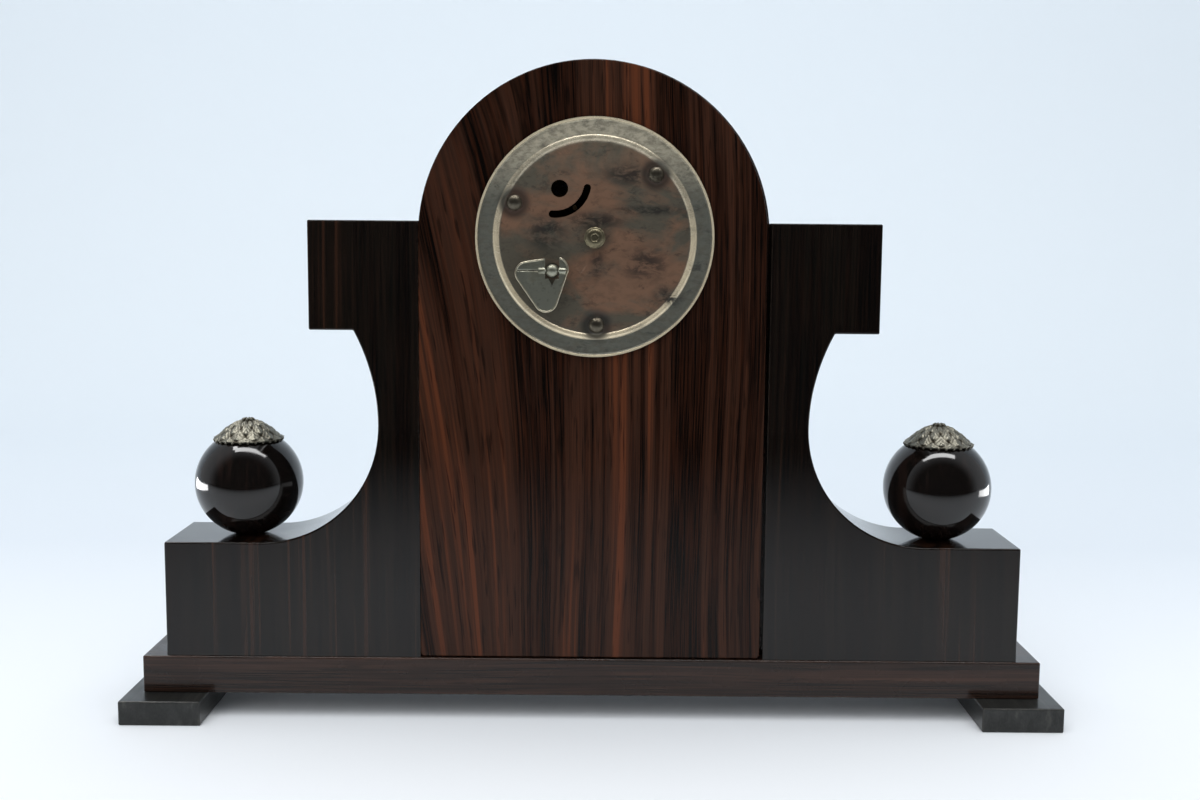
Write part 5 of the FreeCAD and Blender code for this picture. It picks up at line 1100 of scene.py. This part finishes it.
@dataclass
class FrontSide:
    """The dial's finish and its printing. Each ring of marks is a count, a length and a width."""

    numeral_spot: float = 30.6 * MM
    numeral_size: float = 8.4 * MM
    track_outer: float = 39.6 * MM
    print_height: float = 0.06 * MM
    marks: tuple[tuple[int, float, float], ...] = ((60, 1.5 * MM, 0.26 * MM), (12, 2.9 * MM, 0.62 * MM))

    def __post_init__(self) -> None:
        """Read the dial's place from the frame."""
        self.centre = middle("dial")
        self.centre.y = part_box("dial")[0].y

    def place(self, turn: float = 0.0, radius: float = 0.0) -> Matrix:
        """Where a printed figure goes: clockwise from the top, as seen from the front."""
        spot = self.centre + Vector((radius * math.sin(turn), 0.0, radius * math.cos(turn)))
        return Matrix.Translation(spot) @ Matrix.Rotation(math.pi / 2, 4, "X")

    def numerals(self, work: bmesh.types.BMesh) -> None:
        """Add the twelve plain numerals."""
        for hour in range(1, 13):
            curve = bpy.data.curves.new("numeral", "FONT")
            curve.body = str(hour)
            curve.size = self.numeral_size
            curve.extrude = self.print_height
            curve.align_x, curve.align_y = "CENTER", "CENTER"
            holder = add_object("numeral", curve)
            ready = holder.evaluated_get(bpy.context.evaluated_depsgraph_get())
            mesh = bpy.data.meshes.new_from_object(ready)
            mesh.transform(self.place(hour * math.pi / 6, self.numeral_spot))
            work.from_mesh(mesh)
            bpy.data.objects.remove(holder)

    def mark(self, length: float, width: float) -> bpy.types.Mesh:
        """One mark lying along +X."""
        size = Matrix.Diagonal((length, width, 2 * self.print_height, 1.0))
        return mesh_from("mark", lambda work: bmesh.ops.create_cube(work, size=1.0, matrix=size), smooth=False)

    def add(self, ring: RingTree) -> None:
        """Dress and print the dial.

        Args:
            ring: the tree that sets the minute marks.
        """
        ink = InkFinish("dial_ink").material()

        def track(work: bmesh.types.BMesh) -> None:
            """Add sixty minute marks with every fifth one longer."""
            for count, length, width in self.marks:
                work.from_mesh(ring.spread(self.mark(length, width), ink, Count=count,
                                           Radius=self.track_outer - length / 2))

        add_piece("dial_numerals", mesh_from("dial_numerals", self.numerals, None), ink, "case")
        marks = mesh_from("minute_track", track, None)
        marks.transform(self.place())
        add_piece("minute_track", marks, ink, "case")
        dress(DialFinish("silvered_dial", self.centre).material(), "dial")


FINISHES: tuple[tuple[Finish, str], ...] = (
    (WoodFinish("striped_veneer", tint(7, 5, 4), tint(45, 28, 20), tint(82, 44, 27), sweep=0.012, lean=-0.15,
                shift=Vector((0.11, 0.0, 0.03)), gloss=0.06, coat=0.14),
     "centre_back_board centre_front_board"),
    (WoodFinish("hoop_veneer", tint(9, 7, 6), tint(24, 14, 10), tint(56, 30, 20),
                shift=Vector((0.3, 0.1, 0.0))), "centre_hoop"),
    (WoodFinish("wing_veneer", tint(4, 4, 4), tint(11, 10, 8), tint(44, 27, 19), sweep=0.006,
                shift=Vector((0.4, 0.0, 0.0)), roughness=0.14, gloss=0.05, coat=0.60,
                rubbed=tint(60, 50, 42)), "wing_left wing_right"),
    (WoodFinish("plinth_veneer", tint(22, 16, 13), tint(42, 28, 22), tint(82, 56, 44), grain=Grain.ALONG,
                sweep=0.004, roughness=0.26), "plinth"),
    (WoodFinish("ebonised_wood", tint(28, 29, 28), tint(38, 39, 38), tint(58, 58, 55), grain=Grain.ACROSS,
                sweep=0.003, roughness=0.34, rubbed=tint(96, 90, 82)), "foot_left foot_right"),
    (WoodFinish("plain_beech", tint(120, 86, 54), tint(160, 122, 82), tint(188, 150, 106), roughness=0.6,
                wear=0.1), "ball_dowels centre_sill"),
    (LacquerFinish("ball_lacquer", tint(10, 8, 7), tint(25, 17, 14)), "ball_left ball_right"),
    (MetalFinish("bead_silver", tint(150, 146, 132), tint(84, 76, 64), roughness=0.34, scale=200.0),
     "cap_pins"),
    (MetalFinish("worn_nickel", tint(104, 98, 86), tint(56, 50, 42), roughness=0.42, scale=120.0),
     "rear_cover_screws"),
    (MetalFinish("key_steel", tint(186, 187, 170), tint(138, 136, 120), roughness=0.40, level=0.50, scale=60.0,
                 wear=1.0), "winding_key key_pin winding_arbor"),
    (MetalFinish("movement_brass", tint(206, 172, 104), tint(140, 104, 58), roughness=0.25, level=0.6,
                 scale=70.0),
     "front_plate cover_posts pillars barrel barrel_cap centre_wheel third_wheel fourth_wheel escape_wheel "
     "balance_wheel cannon_pinion minute_wheel hour_wheel dial_feet"),
    (MetalFinish("plain_steel", tint(168, 168, 168), tint(104, 98, 92), roughness=0.3, level=0.6, scale=130.0),
     "foot_screws plinth_screws hoop_screws plate_screws ratchet_wheel click click_screw click_spring "
     "pallet_lever cock_screw minute_wheel_stud bezel_pins"),
    # Brass darkened to a painted shade: the back plate, the cock and the lever lie inside the drum and show
    # through the cover's holes.
    (MetalFinish("brass_in_painted_shade", tint(58, 46, 30), tint(26, 21, 16), roughness=0.42, level=0.45, scale=60.0),
     "back_plate balance_cock regulator_lever"),
    (MetalFinish("blued_steel", tint(38, 52, 96), tint(24, 26, 40), roughness=0.22, level=0.62, scale=80.0),
     "mainspring hairspring hour_hand minute_hand"),
    (MetalFinish("drum_nickel", tint(186, 182, 172), tint(120, 108, 92), roughness=0.3, level=0.56, scale=50.0),
     "movement_can"),
    (MetalFinish("bezel_nickel", tint(206, 202, 192), tint(140, 128, 108), roughness=0.14, level=0.6,
                 scale=60.0, bump=0.05), "bezel"),
    (MetalFinish("nut_brass", tint(196, 166, 104), tint(120, 92, 56), roughness=0.22), "hand_nut"),
    (GlassFinish("clear_glass"), "bezel_glass"))


@dataclass(frozen=True)
class SweepFinish(Finish):
    """Pale matt paper, greyer behind the clock, that polished faces see fade away towards the camera."""

    front: Colour = tint(241, 244, 247)
    back: Colour = tint(226, 233, 240)
    top: Colour = tint(238, 246, 252)
    unseen: Colour = tint(20, 20, 20)

    def fill(self, graph: Graph, place: Socket) -> Mapping[str, object]:
        """Lay the tones from front to back."""
        depth = graph.parts(place)[1]
        tone = graph.ramp(graph.span(depth, 0.3, -1.4), ((0.0, self.front), (0.3, self.back), (1.0, self.top)))
        glossy = graph.node("ShaderNodeLightPath").outputs["Is Glossy Ray"]
        fade = graph.times(glossy, graph.span(depth, 0.10, 0.80))
        return {"Base Color": graph.blend(fade, tone, self.unseen), "Roughness": 0.6, "Specular IOR Level": 0.0}


@dataclass(frozen=True)
class Lamp:
    """A soft lamp with its place, its width and height, and its power in watts.

    A mirrored lamp is a window that only polished faces show; the others light the scene but are never
    mirrored. A level lamp faces straight down instead of towards the clock.
    """

    name: str
    place: tuple[float, float, float]
    size: tuple[float, float]
    power: float
    mirrored: bool = False
    level: bool = False

    def add(self) -> None:
        """Hang the lamp."""
        light = bpy.data.lights.new(self.name, "AREA")
        light.shape = "RECTANGLE"
        light.size, light.size_y = self.size
        light.energy = self.power
        lamp = add_object(self.name, light)
        lamp.location = self.place
        lamp.visible_glossy = self.mirrored
        lamp.visible_diffuse = not self.mirrored
        lamp.visible_camera = False
        if not self.level:
            aim = Vector((0.0, 0.0, 0.12)) - Vector(self.place)
            lamp.rotation_euler = aim.to_track_quat("-Z", "Y").to_euler()


@dataclass
class Studio:
    """The pale table and backdrop, the soft lamps and the camera."""

    eye: Vector = Vector((-2.7 * MM, 602.5 * MM, 206.6 * MM))
    pitch: float = math.radians(6.70)
    roll: float = math.radians(0.47)
    lens: float = 41.47
    sensor: float = 36.0
    half_width: float = 3.2
    near: float = 0.9
    far: float = -1.5
    bend: float = 0.7
    bend_steps: int = 16
    top: float = 3.0
    sky: float = 0.57
    sky_colour: Colour = (0.93, 0.96, 1.0, 1.0)
    room_dim: float = 0.95
    seen_lift: float = 0.28
    lamps: tuple[Lamp, ...] = (
        Lamp("soft_top", (0.0, 0.6, 1.9), (2.3, 2.3), 29.0, level=True),
        Lamp("soft_front", (0.7, 1.5, 0.9), (1.2, 1.2), 7.0),
        Lamp("tube_across", (-0.1, 0.25, 1.85), (1.9, 0.32), 21.0, mirrored=True, level=True),
        Lamp("tube_along", (0.85, -0.35, 1.85), (0.25, 1.1), 10.0, mirrored=True, level=True),
        Lamp("window_left", (0.58, -0.12, 0.036), (0.40, 0.064), 1.1, mirrored=True),
        Lamp("window_right", (-0.58, -0.12, 0.036), (0.34, 0.064), 0.6, mirrored=True))

    def camera(self) -> None:
        """The camera at the photograph's place."""
        lens = bpy.data.cameras.new("camera")
        lens.lens = self.lens
        lens.sensor_width = self.sensor
        lens.sensor_fit = "HORIZONTAL"
        lens.clip_start = 10 * MM
        camera = add_object("camera", lens)
        ahead = Vector((0.0, -math.cos(self.pitch), -math.sin(self.pitch)))
        right = Vector((-1.0, 0.0, 0.0))
        above = right.cross(ahead)
        side = right * math.cos(self.roll) + above * math.sin(self.roll)
        up = above * math.cos(self.roll) - right * math.sin(self.roll)
        camera.matrix_world = Matrix.Translation(self.eye) @ Matrix((side, up, -ahead)).transposed().to_4x4()
        bpy.context.scene.camera = camera

    def paper(self, work: bmesh.types.BMesh) -> None:
        """Add the table and the backdrop as one bent sheet."""
        start = self.far + self.bend
        line = [(self.near, 0.0), (0.0, 0.0), (start, 0.0)]
        for step in range(1, self.bend_steps + 1):
            turn = math.pi / 2 * step / self.bend_steps
            line.append((start - self.bend * math.sin(turn), self.bend - self.bend * math.cos(turn)))
        line.append((self.far, self.top))
        rows = [[work.verts.new((side * self.half_width, y, z)) for side in (-1, 1)] for y, z in line]
        for first, second in zip(rows, rows[1:]):
            work.faces.new((first[0], second[0], second[1], first[1]))
        bmesh.ops.recalc_face_normals(work, faces=work.faces)

    def world(self) -> None:
        """Even pale light; polished faces see a dim room behind the camera."""
        world = bpy.data.worlds.new("room")
        world.use_nodes = True
        world.node_tree.nodes.clear()
        graph = Graph(world.node_tree)
        room = graph.span(graph.parts(graph.node("ShaderNodeTexCoord").outputs["Generated"])[1], 0.05, 0.55)
        ray = graph.node("ShaderNodeLightPath").outputs
        dim = graph.times(graph.times(room, ray["Is Glossy Ray"]), self.sky * self.room_dim)
        dim = graph.less(dim, graph.times(ray["Is Camera Ray"], self.seen_lift))
        back = graph.node("ShaderNodeBackground", {"Color": self.sky_colour,
                                                   "Strength": graph.less(self.sky, dim)})
        graph.node("ShaderNodeOutputWorld", {"Surface": back.outputs[0]})
        bpy.context.scene.world = world

    def set_up(self) -> None:
        """Build the whole studio."""
        self.camera()
        mesh = mesh_from("pale_sweep", self.paper)
        mesh.materials.append(SweepFinish("pale_sweep").material())
        add_object("pale_sweep", mesh)
        for lamp in self.lamps:
            lamp.add()
        self.world()
        bpy.context.scene.view_settings.view_transform = "Standard"
        log.info("studio ready")


def main() -> None:
    """Dress the whole clock, build its own pieces and set up the studio."""
    logging.basicConfig(level=logging.INFO, format="%(name)s: %(message)s")
    for finish, nodes in FINISHES:
        dress(finish.material(), *nodes.split())
    ring = RingTree()
    silver = ReliefFinish("silvered_relief").material()
    for side in ("left", "right"):
        StampedCap(side).add(silver, ring)
    RearSide().add()
    FrontSide().add(ring)
    Studio().set_up()


if __name__ == "__main__":
    main()
